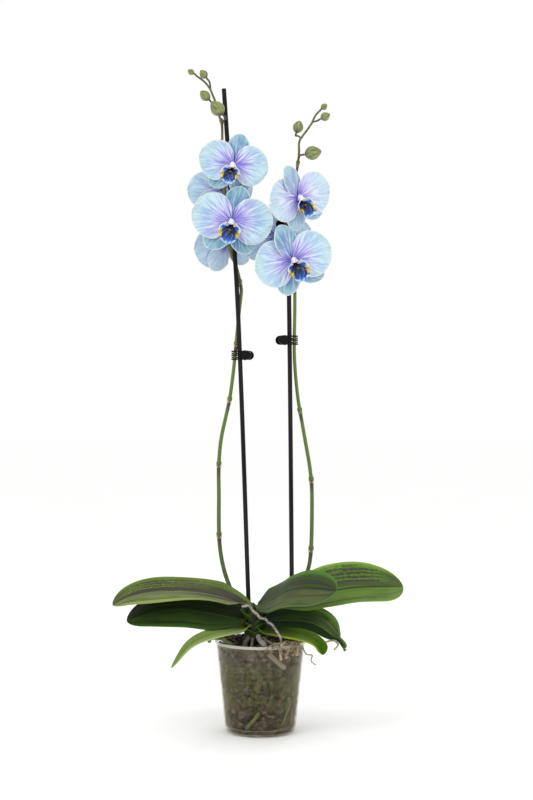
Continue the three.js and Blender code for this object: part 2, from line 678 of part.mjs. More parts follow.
// One petal or sepal, turned from the bloom's upright. It rises towards its rim by the cup, and its two
// halves are waved to opposite sides.
function tepalSolid({ outline, length, turn, depth, cup, wave }) {
  const reaches = outline.map(([reach]) => reach);
  const halfWidths = outline.map(([, halfWidth]) => halfWidth);
  const surface = (u, v) => {
    const x = u * along(halfWidths, v);
    const y = along(reaches, v);
    const z = depth + cup * (x * x + y * y) + wave * u * y;
    return new THREE.Vector3(x * length, y * length, z).applyAxisAngle(UP, radians(turn));
  };
  return solidOf(blade(surface, 2, outline.length - 1, () => TEPAL_THICKNESS));
}

// Five tepals in layers round the hub, which runs forward into the column
function bloomSolid({ petal, lean, wings, hang }) {
  const sepal = { outline: SEPAL_OUTLINE, length: petal * SEPAL_SHARE };
  const wing = { outline: PETAL_OUTLINE, length: petal, ...PETAL_LAYER };
  const column = smoothCurve([
    [0, 0, HUB_BACK],
    [0, -COLUMN_DROOP / 4, COLUMN_LENGTH / 2],
    [0, -COLUMN_DROOP, COLUMN_LENGTH],
  ]);
  return largestOf(
    joined([
      solidOf(limb(column, (t) => HUB_RADIUS * lerp(1, COLUMN_TIP_SHARE, t), 2, HUB_SIDES)),
      tepalSolid({ ...sepal, ...UPPER_SEPAL, turn: lean }),
      tepalSolid({ ...sepal, ...LOWER_SEPAL, turn: hang[0] }),
      tepalSolid({ ...sepal, ...REAR_SEPAL, turn: hang[1] }),
      tepalSolid({ ...wing, turn: wings[0], wave: PETAL_WAVE }),
      tepalSolid({ ...wing, turn: wings[1], wave: -PETAL_WAVE }),
    ]),
  );
}

// The lip: a rounded middle lobe that runs forward and down from the foot of the column, with two
// lobes curling up beside it. Its shape is in shares of its own size.
function lipSolid({ petal }) {
  const size = petal * LIP_SHARE;
  const hubSide = HUB_RADIUS * Math.cos(Math.PI / HUB_SIDES);
  const foot = [0, -(hubSide + GAP + LIP_FOOT_THICKNESS / 2) / size, LIP_FOOT_FORWARD];
  const spine = smoothCurve([foot, ...LIP_SPINE]);
  const middle = (u, v) => {
    const half = along(LIP_HALF_WIDTHS, v);
    const raised = LIP_EDGE_RISE * half * Math.abs(u);
    return spine.getPointAt(v).add(new THREE.Vector3(u * half, 0, raised)).multiplyScalar(size);
  };
  const middleThickness = (u, v) => lerp(LIP_FOOT_THICKNESS, TEPAL_THICKNESS, smooth(v, 0, 0.5));
  const lobe = (side) => (u, v) => {
    const rounding = Math.pow(Math.cos(LOBE_CORNER_TURN * u), LOBE_CORNER_POWER);
    const x = side * (LOBE_INSIDE + LOBE_REACH * v * rounding - LOBE_CURL * Math.pow(v, 4));
    const y = LOBE_MIDDLE + u * lerp(...LOBE_HALF_HEIGHTS, v);
    const z = lerp(LOBE_FOOT_FORWARD - LOBE_FOOT_SLOPE * u, LOBE_RIM_FORWARD, Math.pow(v, 1.2));
    return new THREE.Vector3(x, y, z).multiplyScalar(size);
  };
  const lobeThickness = (u, v) => lerp(LOBE_FOOT_THICKNESS, TEPAL_THICKNESS, v);
  return largestOf(
    joined([
      solidOf(blade(middle, 2, 4, middleThickness)),
      solidOf(blade(lobe(1), 2, 2, lobeThickness)),
      solidOf(blade(lobe(-1), 2, 2, lobeThickness)),
    ]),
  );
}

// A plump bud, pointed at the tip, standing on its base along +Z
function budGeometry({ length, width }) {
  const profile = [[0, 0]];
  for (let i = 1; i < BUD_ROWS; i++) {
    const share = i / BUD_ROWS;
    const bulge = Math.pow(Math.sin(Math.PI * Math.pow(share, 0.85)), 0.72);
    profile.push([(width / 2) * bulge, length * share]);
  }
  profile.push([0, length]);
  return turned(profile, BUD_SIDES);
}

function budPlace({ centre, length, aim }) {
  const direction = vector(aim).normalize();
  return {
    direction,
    base: vector(centre).addScaledVector(direction, -length / 2),
    turn: new THREE.Quaternion().setFromUnitVectors(UP, direction),
  };
}

function spikeSolid(name) {
  const curve = smoothCurve(SPIKES[name].route);
  const pieces = [solidOf(limb(curve, stemRadiusAt, STEM_STEPS, STEM_SIDES))];
  for (const height of SPIKES[name].bracts) pieces.push(bractSolid(curve, height));
  for (const bloom of Object.values(BLOOMS).filter((one) => one.spike === name)) {
    const frame = bloomMatrix(bloom);
    const facing = UP.clone().transformDirection(frame);
    const back = new THREE.Vector3(0, 0, HUB_BACK).applyMatrix4(frame);
    pieces.push(pedicelSolid(curve, bloom.joint, back, facing, PEDICEL_RADIUS, bloom.via));
  }
  for (const bud of Object.values(BUDS).filter((one) => one.spike === name)) {
    const { base, direction } = budPlace(bud);
    pieces.push(pedicelSolid(curve, bud.joint, base, direction, PEDICEL_RADIUS * BUD_STALK_SHARE));
  }
  return largestOf(joined(pieces));
}

function rootSolid(branches, grow) {
  return joined(
    branches.map(([first, last, route]) =>
      solidOf(limb(smoothCurve(route), (t) => lerp(first, last, t) + grow, route.length + 1, ROOT_SIDES)),
    ),
  );
}

// The outline of a claw along a line of points, with half its thickness at each
function clawOutline(line, half) {
  const offset = (side) =>
    line.map(([x, y], i) => {
      const [ax, ay] = line[Math.max(i - 1, 0)];
      const [bx, by] = line[Math.min(i + 1, line.length - 1)];
      const length = Math.hypot(bx - ax, by - ay);
      return [x - (side * half * (by - ay)) / length, y + (side * half * (bx - ax)) / length];
    });
  return [...offset(1), ...offset(-1).reverse()];
}

// One jaw with its claws towards +X round a space of that reach, its pad towards -X and its back to -Y
function jawSolids(reach, fingerHeights, lugs) {
  const back = -CAVITY_HALF_DEPTH;
  const tip = CLAW_TIP.map(([x, y]) => [reach + x, y]);
  const claw = clawOutline([[0, back], [reach + CLAW_BEND, back], ...tip], CLAW_HALF_THICKNESS);
  const plate = clawOutline(WEB_ENDS.map((x) => [x, back]), CLAW_HALF_THICKNESS);
  const web = slab(plate, -CLIP_HALF_HEIGHT, CLIP_HALF_HEIGHT);
  const disc = [CLIP_PAD_RADIUS, CLIP_PAD_RADIUS, CLIP_PAD_THICKNESS, CLIP_PAD_SIDES];
  const pad = new THREE.CylinderGeometry(...disc)
    .rotateZ(radians(CLIP_PAD_SPLAY))
    .translate(-CLIP_PAD_CENTRE, back - CLIP_PAD_BEHIND, 0);
  const pieces = [solidOf(web), solidOf(pad)];
  for (const height of fingerHeights) {
    pieces.push(solidOf(slab(claw, height - FINGER_THICKNESS / 2, height + FINGER_THICKNESS / 2)));
  }
  for (const [low, high] of lugs) {
    const ear = [
      [-LUG_FOOT, back],
      [LUG_FOOT, back],
      [LUG_RADIUS * 0.9, 0],
      [0, LUG_RADIUS],
      [-LUG_RADIUS * 0.9, 0],
    ];
    pieces.push(solidOf(slab(ear, low, high)));
  }
  return joined(pieces);
}

function pinGeometry(radius, halfHeight) {
  return new THREE.CylinderGeometry(radius, radius, 2 * halfHeight, PIN_SIDES).rotateX(Math.PI / 2);
}

// The clip stands where stake and stem pass its height, with its claws along the line between them
function addClip(name, { stake, spike, height, towards }) {
  const stakeCurve = smoothCurve(STAKES[stake]);
  const stemCurve = smoothCurve(SPIKES[spike].route);
  const stemShare = shareAtHeight(stemCurve, height);
  const stakePoint = stakeCurve.getPointAt(shareAtHeight(stakeCurve, height));
  const line = stemCurve.getPointAt(stemShare).sub(stakePoint).setZ(0);
  const around = PIVOT_TO_STAKE + line.length() + stemRadiusAt(stemShare);
  const reach = around + CLAW_ROOM + CLAW_HALF_THICKNESS;
  const lugs = (inside, outside) => [[-outside, -inside], [inside, outside]];
  const half = SPRING_HALF_HEIGHT;
  const frontFingers = [-FINGER_PITCH, 0, FINGER_PITCH];
  const rearFingers = [-FINGER_PITCH / 2, FINGER_PITCH / 2];
  const front = jawSolids(reach, frontFingers, lugs(FRONT_LUG_INSIDE, CLIP_HALF_HEIGHT)).subtract(
    solidOf(pinGeometry(PIN_RADIUS + PIN_ROOM, CLIP_HALF_HEIGHT + 1)),
  );
  const rear = joined([
    jawSolids(reach, rearFingers, lugs(half + PIN_ROOM, REAR_LUG_OUTSIDE)).mirror([0, 1, 0]),
    solidOf(pinGeometry(PIN_RADIUS, CLIP_HALF_HEIGHT + PIN_PROUD)),
  ]);
  const [inner, outer] = SPRING_RADII;
  const section = [[inner, -half], [outer, -half], [outer, half], [inner, half], [inner, -half]];
  const spring = turned(section, SPRING_SIDES);
  const clip = new THREE.Group();
  clip.position.copy(stakePoint).addScaledVector(line.normalize(), -PIVOT_TO_STAKE).setZ(height);
  clip.rotation.z = Math.atan2(towards * line.y, towards * line.x);
  const faced = (solid) => geometryOf(towards > 0 ? solid : solid.mirror([1, 0, 0]));
  addMesh(clip, name + "_front_jaw", faced(front), COLOURS.black);
  addMesh(clip, name + "_rear_jaw", faced(rear), COLOURS.black);
  addMesh(clip, name + "_spring", spring, COLOURS.steel);
  group.add(clip);
}

const crown = crownSolid(0);
const crownRoom = crownSolid(GAP);
const outsideCrown = (solid) => largestOf(solid.subtract(crownRoom));

addMesh(group, "pot", geometryOf(potSolid()), COLOURS.pot);
addMesh(group, "stem_base", geometryOf(crown), COLOURS.crown);

for (const [name, leaf] of Object.entries(LEAVES)) {
  const colour = name.startsWith("leaf_small") ? COLOURS.youngLeaf : COLOURS.leaf;
  addMesh(group, name, geometryOf(outsideCrown(leafSolid(leaf))), colour);
}

for (const [name, route] of Object.entries(STAKES)) {
  addMesh(group, name, geometryOf(stakeSolid(route, 0)), COLOURS.black);
}

for (const [name, branches] of Object.entries(ROOTS)) {
  addMesh(group, name, geometryOf(outsideCrown(rootSolid(branches, 0))), COLOURS.root);
}

const barkHoles = [
  crownRoom,
  ...Object.values(STAKES).map((route) => stakeSolid(route, GAP)),
  ...Object.values(ROOTS).map((branches) => rootSolid(branches, GAP)),
];
addMesh(group, "bark_filling", geometryOf(barkSolid(barkHoles)), COLOURS.bark);

for (const name of Object.keys(SPIKES)) {
  addMesh(group, name, geometryOf(outsideCrown(spikeSolid(name))), COLOURS.stem);
}

for (const [name, bloom] of Object.entries(BLOOMS)) {
  const flower = new THREE.Group();
  flower.applyMatrix4(bloomMatrix(bloom));
  addMesh(flower, "bloom_" + name, geometryOf(bloomSolid(bloom)), COLOURS.tepal);
  addMesh(flower, "lip_" + name, geometryOf(lipSolid(bloom)), COLOURS.lip);
  group.add(flower);
}

for (const [name, bud] of Object.entries(BUDS)) {
  const { base, turn } = budPlace(bud);
  const mesh = addMesh(group, name, budGeometry(bud), COLOURS.bud);
  mesh.position.copy(base);
  mesh.quaternion.copy(turn);
}

for (const [name, clip] of Object.entries(CLIPS)) addClip(name, clip);

export default group;
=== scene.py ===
# Potted moth orchid with two staked flower spikes. Metres, +Z up, front towards -Y.
# Routes and sizes in the tables are in millimetres.
import random
from bisect import bisect_right
from collections import namedtuple
from math import atan2, cos, exp, hypot, pi, radians, sin, sqrt

import bpy
from mathutils import Matrix, Vector, noise


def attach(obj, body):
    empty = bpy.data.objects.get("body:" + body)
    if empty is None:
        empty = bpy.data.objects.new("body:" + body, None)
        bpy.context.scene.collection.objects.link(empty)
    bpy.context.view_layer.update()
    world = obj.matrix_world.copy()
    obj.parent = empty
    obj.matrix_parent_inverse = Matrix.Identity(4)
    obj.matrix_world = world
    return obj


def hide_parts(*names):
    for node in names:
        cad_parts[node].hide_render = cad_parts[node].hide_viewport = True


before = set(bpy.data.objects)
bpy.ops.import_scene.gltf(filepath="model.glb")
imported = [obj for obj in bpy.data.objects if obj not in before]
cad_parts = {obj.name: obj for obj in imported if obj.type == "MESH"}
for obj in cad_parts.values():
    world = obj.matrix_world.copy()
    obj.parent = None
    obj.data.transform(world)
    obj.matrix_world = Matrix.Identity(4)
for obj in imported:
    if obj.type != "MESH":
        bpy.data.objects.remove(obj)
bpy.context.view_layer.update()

MM = 0.001
UP = Vector((0, 0, 1))

# Camera: level, on the pot's front side
CAMERA_PLACE = (0.008, -1.9, 0.4364)
CAMERA_LENS = 64.77
CAMERA_FILM = 36
FLOOR_HALF = 14
LAMPS_AIM = Vector((0, 0, 0.45))
# Place, size, power and tint of each lamp
LAMPS = {
    "key": ((-1.2, -1.3, 2.1), 1.0, 11, (1, 0.985, 0.96)),
    "fill": ((1.7, -1.4, 1.0), 1.2, 3, (0.95, 0.97, 1)),
    "back": ((0.6, 1.6, 1.7), 1.0, 5, (1, 1, 1)),
}
SKY_STRENGTH = 1.01

POT_PROFILE = [
    (0, 0), (40.6, 0), (41.5, 0.5), (45.1, 2.5), (45.4, 3.1), (46.9, 8.6), (47.1, 9.6), (58.6, 115.8),
    (58.9, 116.6), (59.8, 116.9), (60, 117.5), (60, 119.6), (59.6, 120), (58, 120), (57.6, 119.6),
    (45.9, 9.8), (45.5, 8.6), (44.2, 4.1), (40.9, 2), (40.2, 1.8), (0, 1.8),
]
DRAIN_COUNT, DRAIN_RADIUS, DRAIN_CIRCLE = 8, 4, 30

# The face of the bark behind the wall
WALL_SIDES, WALL_ROWS = 300, 110
WALL_LOW, WALL_HIGH = 2.3, 112.4
WALL_SEED = 4
# The loose chips on top, in a spiral round the crown that fills the pot, and heaped at the rear
CHIP_COUNT = 260
CHIPS_REACH = 51.5
CHIPS_HEIGHT = 111.5
CHIPS_HEAP = 7
SPIRAL_TURN = 2.39996
CROWN_ROOM = 11

CROWN_PROFILE = [(5, 84), (7, 112), (9, 130), (10.5, 143), (10, 153), (7.5, 161), (3, 165)]
CROWN_X = -8
CROWN_FOOT, CROWN_TOP = 84, 165.3
CROWN_DEPTH = 0.82

# Each leaf: its midrib, its greatest half width, the roll that lifts its far edge and the fold that lifts
# both. broad is where it reaches its full width, taper where its tip begins, blunt how round that is;
# near_ is for the half to the front, and nib a narrow tongue beyond blade_end.
LEAVES = {
    "leaf_upper_left": {
        "rib": [(-11, 0, 158.5), (-26, 1, 167), (-47, 2, 174), (-73, 2, 180), (-106, 0, 183),
                (-146, -3, 182), (-172, -6, 177), (-194, -10, 167)],
        "half": 36, "roll": 23, "fold": 4, "broad": 0.28, "near_broad": 0.8, "near_share": 0.83},
    "leaf_lower_left": {
        "rib": [(-9, 0, 146), (-22, 0, 147), (-40, 0, 149.5), (-73, -3, 156), (-106, -6, 159.5),
                (-145, -10, 156.5), (-175, -14, 146.5)],
        "half": 33, "roll": 34, "fold": 2, "broad": 0.14, "near_broad": 0.38},
    "leaf_small_left": {
        "rib": [(-11, -1, 135), (-22, -8, 134.5), (-44, -25, 133.5), (-66, -38, 131), (-90, -53, 121.5),
                (-113, -66, 95)],
        "half": 13.5, "roll": 14, "fold": 10, "broad": 0.3, "taper": 0.36, "blunt": 1.4},
    "leaf_front_right": {
        "rib": [(-5, -1, 162.5), (2, -6, 166), (19, -19, 177), (32, -29, 186), (51, -42, 193),
                (77, -56, 195), (97, -67, 193)],
        "half": 33, "roll": 37, "fold": 1, "broad": 0.09, "near_broad": 0.33, "near_taper": 0.74},
    "leaf_rear_right": {
        "rib": [(-7, 0, 152), (6, -1, 155), (19, -1.5, 159), (42, 0, 167), (79, 8, 179), (119, 17, 186),
                (160, 24, 187), (191, 28, 186)],
        "half": 39, "roll": 41, "fold": 18, "broad": 0.55, "near_share": 0.93, "near_taper": 0.84},
    "leaf_middle_right": {
        "rib": [(-7, 0, 144), (4, -2, 144.5), (26, -6, 146), (44.9, -9, 146.4), (61.4, -12, 145.1),
                (77.7, -16, 139.7), (94.4, -21, 128.6), (102.7, -24, 123.6), (108.8, -26, 116),
                (109.5, -26, 109)],
        "half": 27, "roll": 37, "fold": 12, "broad": 0.24, "near_share": 0.62, "taper": 0.6,
        "blunt": 2.6, "blade_end": 0.87, "nib": 4.6},
    "leaf_small_right": {
        "rib": [(-6, -2, 133), (3, -8, 133.2), (19, -22, 133), (38, -36, 132.6), (55, -46, 130.8),
                (69, -53, 126.5), (77, -58, 120.5), (80.5, -63, 111)],
        "half": 15, "near_share": 0.85, "roll": 16, "fold": 8, "broad": 0.3, "taper": 0.7, "blunt": 2},
}
LEAF_BASE_HALF = 10.5
LEAF_BASE_FOLD = 44
LEAF_TIP_HALF = 0.6
TIP_TAPER = 0.58
TIP_BLUNTNESS = 2.3
NIB_ROUND_FROM = 0.94

# Leaf looks: the colours of the far and the near half, the shade far from the rim, the dark mottle, the rim
# and the rib, and the rib's strength. Then the bands of dashes, stripes and wash, as (from, to, amount)
# across the leaf, which runs from -1 at its near edge to 1 at its far edge, a band of a clear colour, and
# the gloss. blotch is (from, to, begin, full, colour) and tip is (begin, full, colour), both lengthwise.
Skin = namedtuple("Skin", "far near deep mottle rim rib rib_share dashes stripes wash clear gloss blotch tip",
                  defaults=(None, None))
LEAF_SKINS = {
    "leaf_upper_left": Skin(
        "#607430", "#6c7a4a", "#53662b", "#3a3033", "#8ba556", "#9b9284", 0.75,
        (-0.05, 0.88, 0.95), (-0.8, 0.35, 0.85), (-0.6, 0.75, 0.95), (-1.0, -0.8, "#8b9a55"), 0.06),
    # leaf_lower_left: its own dark green, deepened with painted shade from leaf_upper_left above it, darkest
    # in the far half
    "leaf_lower_left": Skin(
        "#27370f", "#283d12", "#1d2f0f", "#19170f", "#4f7332", "#2c4a20", 0.8,
        (0.6, 1.0, 0.5), (-0.85, 0.6, 0.55), (-0.7, 0.9, 0.5), (-1.0, -0.93, "#2f4f1b"), 0.08,
        blotch=(0.35, 1.0, 0.58, 0.78, "#4a3c43")),
    "leaf_small_left": Skin(
        "#6b8236", "#7d9147", "#849a52", "#576b33", "#a9b678", "#a9b87a", 0.6,
        (0.0, 0.8, 0.0), (-0.85, 0.9, 0.7), (-0.5, 0.9, 0.8), (-1.0, -0.9, "#aebd7f"), 0.2),
    # leaf_front_right: the paler grey near half is painted reflection of the bright sky on the leaf
    "leaf_front_right": Skin(
        "#37491f", "#505c36", "#3d4a2c", "#2f2a30", "#66804a", "#26222a", 0.95,
        (0.3, 0.9, 0.25), (-0.95, 0.9, 0.9), (0.1, 0.7, 0.5), (0.86, 1.0, "#4c7a2c"), 0.07),
    "leaf_rear_right": Skin(
        "#56762a", "#5e7e31", "#4c6a22", "#3f343b", "#8dac4a", "#23221a", 0.95,
        (0.08, 0.95, 0.95), (-0.85, 0.35, 0.6), (-0.5, 0.9, 0.2), (0.93, 1.0, "#7ba03f"), 0.1),
    "leaf_middle_right": Skin(
        "#35521f", "#1b3310", "#223813", "#2a272a", "#5c8833", "#66854a", 0.8,
        (0.1, 0.7, 0.25), (-0.6, 0.8, 0.7), (-0.2, 0.7, 0.6), (0.84, 1.0, "#5a8834"), 0.07,
        blotch=(-0.1, 1.0, 0.36, 0.6, "#71834a"), tip=(0.84, 0.9, "#4d6f2a")),
    "leaf_small_right": Skin(
        "#4c6320", "#5a7322", "#43591c", "#20340f", "#98a831", "#4c7a2a", 0.4,
        (0.0, 0.8, 0.0), (-0.85, 0.8, 0.5), (-0.9, 0.9, 0.8), (-1.0, -0.85, "#8ea32c"), 0.04,
        tip=(0.62, 0.76, "#365d0e")),
}


STAKES = {
    "stake_left": [(-13, 32.5, 13), (-13.7, 32, 99), (-17.1, 29, 195), (-25.2, 20.5, 436), (-31.4, 16, 583),
                   (-44, 9.5, 781), (-48.5, 8, 849)],
    "stake_right": [(43.2, 13.5, 44), (42.4, 19, 108), (41.7, 24, 206), (39.6, 18.5, 436), (38, 13, 569),
                    (36.5, 9.5, 690)],
}
STAKE_RADIUS = 3

STEM_RADII = [3.1, 2.7, 2.35, 2.2, 1.3]
SPIKES = {
    "spike_left": {
        "route": [(-9, 4, 122), (-14, 14, 127), (-27, 28, 150), (-40, 38, 181), (-49, 39, 207),
                  (-55, 38, 241), (-56, 34, 313), (-56, 32, 348), (-53, 30, 383), (-46, 28, 416),
                  (-41.8, 27, 435), (-36.8, 23.5, 470), (-34, 20.5, 496), (-31, 23.8, 530),
                  (-27.9, 22.2, 559), (-25.6, 20, 583), (-27.1, 20.6, 592), (-29.4, 21.6, 603),
                  (-33.4, 21.9, 617), (-38.3, 20.6, 630), (-42.4, 17.5, 648), (-47.6, 13, 715),
                  (-50.6, 8, 768), (-51.3, 5, 803), (-54.2, 5, 811), (-60, 4.5, 832), (-63.2, 4, 840),
                  (-67, 4, 848.5), (-74.7, 4, 857.8), (-85.5, 4, 865.7)],
        "bracts": [253, 348, 435, 509, 592, 803]},
    "spike_right": {
        "route": [(-7, 3, 121), (6, 12, 127), (30, 34, 150), (52, 44, 180), (63.9, 44.5, 207),
                  (67.5, 45, 226), (69.4, 42, 301), (68.5, 40, 327), (65.2, 38, 353), (61.1, 36, 376),
                  (56.3, 33, 403), (50.5, 29, 436), (46.8, 24.5, 470), (45.2, 20, 496),
                  (45.1, 17.5, 516), (45.7, 15.5, 556), (45.7, 15.5, 583), (44.2, 19, 640),
                  (43.7, 19.5, 668), (45.3, 16, 709), (48.1, 11.5, 738), (51.1, 9, 764),
                  (51.5, 8, 779), (56.4, 8, 787), (62.5, 7, 795), (67.9, 6, 803), (73, 6, 813.5),
                  (79.6, 6, 820.5)],
        "bracts": [233, 327, 420, 664, 748]},
}

PEDICEL_RADIUS = 1.5
# joint is the height where the stalk leaves the spike. Angles are in degrees: lean is the turn of the upper
# sepal, wings and hang those of the petals and lower sepals. tone lightens the bloom, over lifts the left
# half of the upper sepal, and via is a point that the stalk passes.
Bloom = namedtuple("Bloom", "joint centre tone petal yaw pitch roll lean wings hang over via",
                   defaults=(0, None))
BLOOMS = {
    "left_1": Bloom(756, (-34.8, -20, 743.7), -0.05, 46, -10, 4, -10, -6, (82, -86), (139, -153)),
    "left_2": Bloom(708, (-53.3, 38, 719.1), 0.16, 45, 192, 3, -4, 2, (78, -88), (134, -130)),
    "left_3": Bloom(682, (-37.1, -19, 669.9), 0.0, 53, -3, 4, -9, -7, (82, -82), (143, -141)),
    "left_4": Bloom(640, (-47.2, 37, 644.2), 0.28, 46, 213, 2, -18, 3, (86, -86), (134, -128)),
    "right_1": Bloom(716, (48.6, -18, 701.5), 0.24, 49, 34, 4, 18, 12, (88, -90), (159, -136), over=4),
    "right_2": Bloom(
        650, (19.4, 33, 655), 0.28, 50, 180, 2, 3, 0, (86, -86), (132, -130), via=(38, 24, 657)),
    "right_3": Bloom(634, (42, -19, 620), 0.08, 53, 14, 4, 18, 6, (88, -90), (151, -136), over=6),
}

SEPAL_SHARE = 0.89
PETAL_OUTLINE = [(0.03, 0.05), (0.09, 0.31), (0.27, 0.52), (0.5, 0.575), (0.72, 0.505), (0.88, 0.365),
                 (0.965, 0.22), (1, 0.1), (1.008, 0)]
SEPAL_OUTLINE = [(0.03, 0.06), (0.24, 0.27), (0.52, 0.36), (0.76, 0.32), (0.91, 0.21), (0.985, 0.1),
                 (1.005, 0)]
HUB_BACK = -3
LIP_SHARE = 0.64

LIP_FOOT = 4.68
LIP_HALVES = [0.11, 0.13, 0.16, 0.24, 0.31, 0.35, 0.34, 0.27, 0.12]
COLUMN_ROUTE = [(0, 0, -2.6), (0, -0.1, 2), (0, -0.8, 6), (0, -2.2, 9.6)]
COLUMN_RADII = [2.7, 3.2, 3.1, 3.3, 4.0, 3.8, 1.6]
COLUMN_CAP = [(0, -2.0), (1.7, -1.5), (2.6, -0.3), (2.4, 0.8), (1.5, 1.7), (0, 2.0)]
CALLUS = [(0, -1.6), (1.5, -1.1), (2.1, 0), (1.6, 1.2), (0, 1.7)]
# Stops of the colour from the hub out, and the tints of rays, gleams, mist and rim
PETAL = (((0.03, "#351c9c"), (0.09, "#5840c2"), (0.17, "#8a7ad8"), (0.3, "#ada4e4"), (0.42, "#b7b9e6"),
          (0.56, "#b9c9e6"), (0.72, "#b5d1e0"), (0.95, "#bcd9dd")),
         ("#7471c9", "#f0f2fb", "#a3cbe2", "#e6ede2"))
SEPAL = (((0.03, "#3519a0"), (0.09, "#6a55d4"), (0.17, "#a5a3dc"), (0.34, "#8fa4d2"), (0.52, "#6b93ba"),
          (0.75, "#6d9bb9"), (0.92, "#90bac8")), ("#466c9c", "#cfdeee", "#86b3c4", "#dfe9e0"))
REAR = (((0.04, "#140e58"), (0.12, "#33289a"), (0.22, "#7a7cc6"), (0.34, "#a6b8e0"), (0.6, "#a4c6e2"),
         (0.95, "#afd2df")), ("#7590c0", "#e2edf3", "#9cc5d2", "#dde8dc"))

Bud = namedtuple("Bud", "joint centre length width aim")
BUDS = {
    "bud_left_1": Bud(865, (-92, 4, 870.5), 10, 8, (-0.85, 0, 0.52)),
    "bud_left_2": Bud(846, (-75.2, 0, 866.6), 13, 11, (-0.62, -0.1, 0.78)),
    "bud_left_3": Bud(826, (-73.4, 2, 838.8), 17, 13, (-0.7, 0, 0.71)),
    "bud_left_4": Bud(800, (-57, -8, 820), 23, 18.5, (-0.66, -0.1, 0.74)),
    "bud_left_5": Bud(765, (-64, 20, 769.5), 22, 19, (-0.8, 0.35, 0.49)),
    "bud_right_1": Bud(820, (84.4, 6, 825), 10, 8.5, (0.75, 0, 0.66)),
    "bud_right_2": Bud(800, (85.8, 3, 811.4), 14, 11.5, (0.88, -0.1, 0.46)),
    "bud_right_3": Bud(783, (50.2, 14, 799.8), 18, 14, (0.28, 0.2, 0.94)),
    "bud_right_4": Bud(750, (69.5, -1, 762.6), 23, 18.5, (0.97, -0.15, 0.17)),
}

# First and last radius and route of each branch
ROOTS = {
    "root_long_front": [
        (1.9, 1.4, [(-24, -17, 166), (-15, -18, 167), (-9, -18, 160), (-1, -22, 153), (7, -28, 151),
                    (14, -35, 146), (21, -44.5, 138.5), (26, -47.5, 131), (27, -44, 121), (27, -42, 107)])],
    "root_stilt_front": [(3.2, 3.6, [(-4, -4, 130), (-2, -14, 124), (5, -24, 116), (9, -30, 107)])],
    "root_stilt_left": [(3, 3, [(-13, -4, 128), (-19, -11, 120), (-22, -16, 108)])],
    "root_stilt_middle": [(1.9, 2.2, [(-9.8, -5, 126), (-10.8, -14, 118), (-12, -19, 107)])],
    "root_stilt_rear": [(2.4, 2.6, [(-7, 4, 113), (-6.5, 14, 112.5), (-6, 24, 105)])],
    "root_left_rim": [(2.6, 2.8, [(-30, -6, 105), (-38, -10, 115), (-50, -14, 123.5), (-60, -14, 125),
                                  (-66, -14, 123.5), (-67.5, -14, 118)])],
    "roots_right_rim": [
        (2.6, 2.1, [(0, -4, 124), (14, -14, 118), (27, -26, 116), (35, -35, 119.5), (40, -41, 124.4)]),
        (2.2, 1.9, [(35, -35, 119.5), (31, -49, 124), (27, -57.5, 122), (26, -61.5, 113),
                    (26.5, -61.5, 103)]),
        (1.9, 2.1, [(39, -40, 123.8), (41, -50, 123.5), (38, -57, 119), (34, -60.5, 111),
                    (33, -60.5, 105)]),
        (1.8, 1.9, [(40, -41, 124.4), (48, -47, 123), (48, -50.5, 116), (46, -52.5, 107.5)]),
        (1.4, 1, [(40, -41, 124.4), (48, -45, 124), (55, -44, 116), (60, -43, 108), (67, -43, 107),
                  (65.5, -43, 100), (72, -43, 94)]),
        (2, 1.4, [(35, -35, 119.5), (50, -34, 124.4), (64, -33, 124), (82, -34, 122), (95, -34, 124.5),
                  (101, -34, 119), (95, -34, 112)])],
}
# Dark, pale and tip colour
ROOT_COLOURS = {
    "root_long_front": ("#4d443f", "#a59d95", "#8d8379"),
    "root_left_rim": ("#4b5330", "#8b9460", "#5f7a3f"),
    "root_stilt_front": ("#4d4a44", "#a39f95", "#a39f95"),
    "roots_right_rim": ("#5f5340", "#b0a58a", "#b98a5c"),
}
PLAIN_ROOT = ("#3d382f", "#777062", "#777062")
FINE_ROOTS = "roots_right_rim"
FINE_SHARE = 0.8

# Thin strands at the right of the rim
STRANDS = [
    (1.0, 0.8, [(30, -48, 124), (24, -55, 124.5), (15, -60, 123), (9, -61.8, 119), (6, -61.6, 114)]),
    (1.1, 0.9, [(38, -42, 124.4), (31, -50, 125.4), (23, -57, 124), (16, -61, 119.5), (13, -61.8, 114)]),
    (1.2, 0.8, [(40, -42, 124.4), (44, -46, 125.6), (53, -46, 124.6), (60, -43, 126), (66, -41, 124.4)]),
    (1.0, 0.7, [(33, -42, 124), (38, -52, 125), (42, -57, 122), (45, -58.5, 116), (43, -59, 111)]),
    (1.3, 1.0, [(17, -58, 124), (24, -61, 120.5), (33, -62.5, 118), (41, -61, 121), (50, -52, 122)]),
    (1.1, 0.9, [(22, -62, 118.5), (30, -63.8, 112), (37, -62, 107.5), (39, -61, 103)]),
    (1.0, 0.8, [(47, -53, 121), (40, -60.5, 116), (32, -63.5, 112.5)]),
]
STRAND_COLOURS = ("#4b3f2e", "#8f8165", "#a8733f")
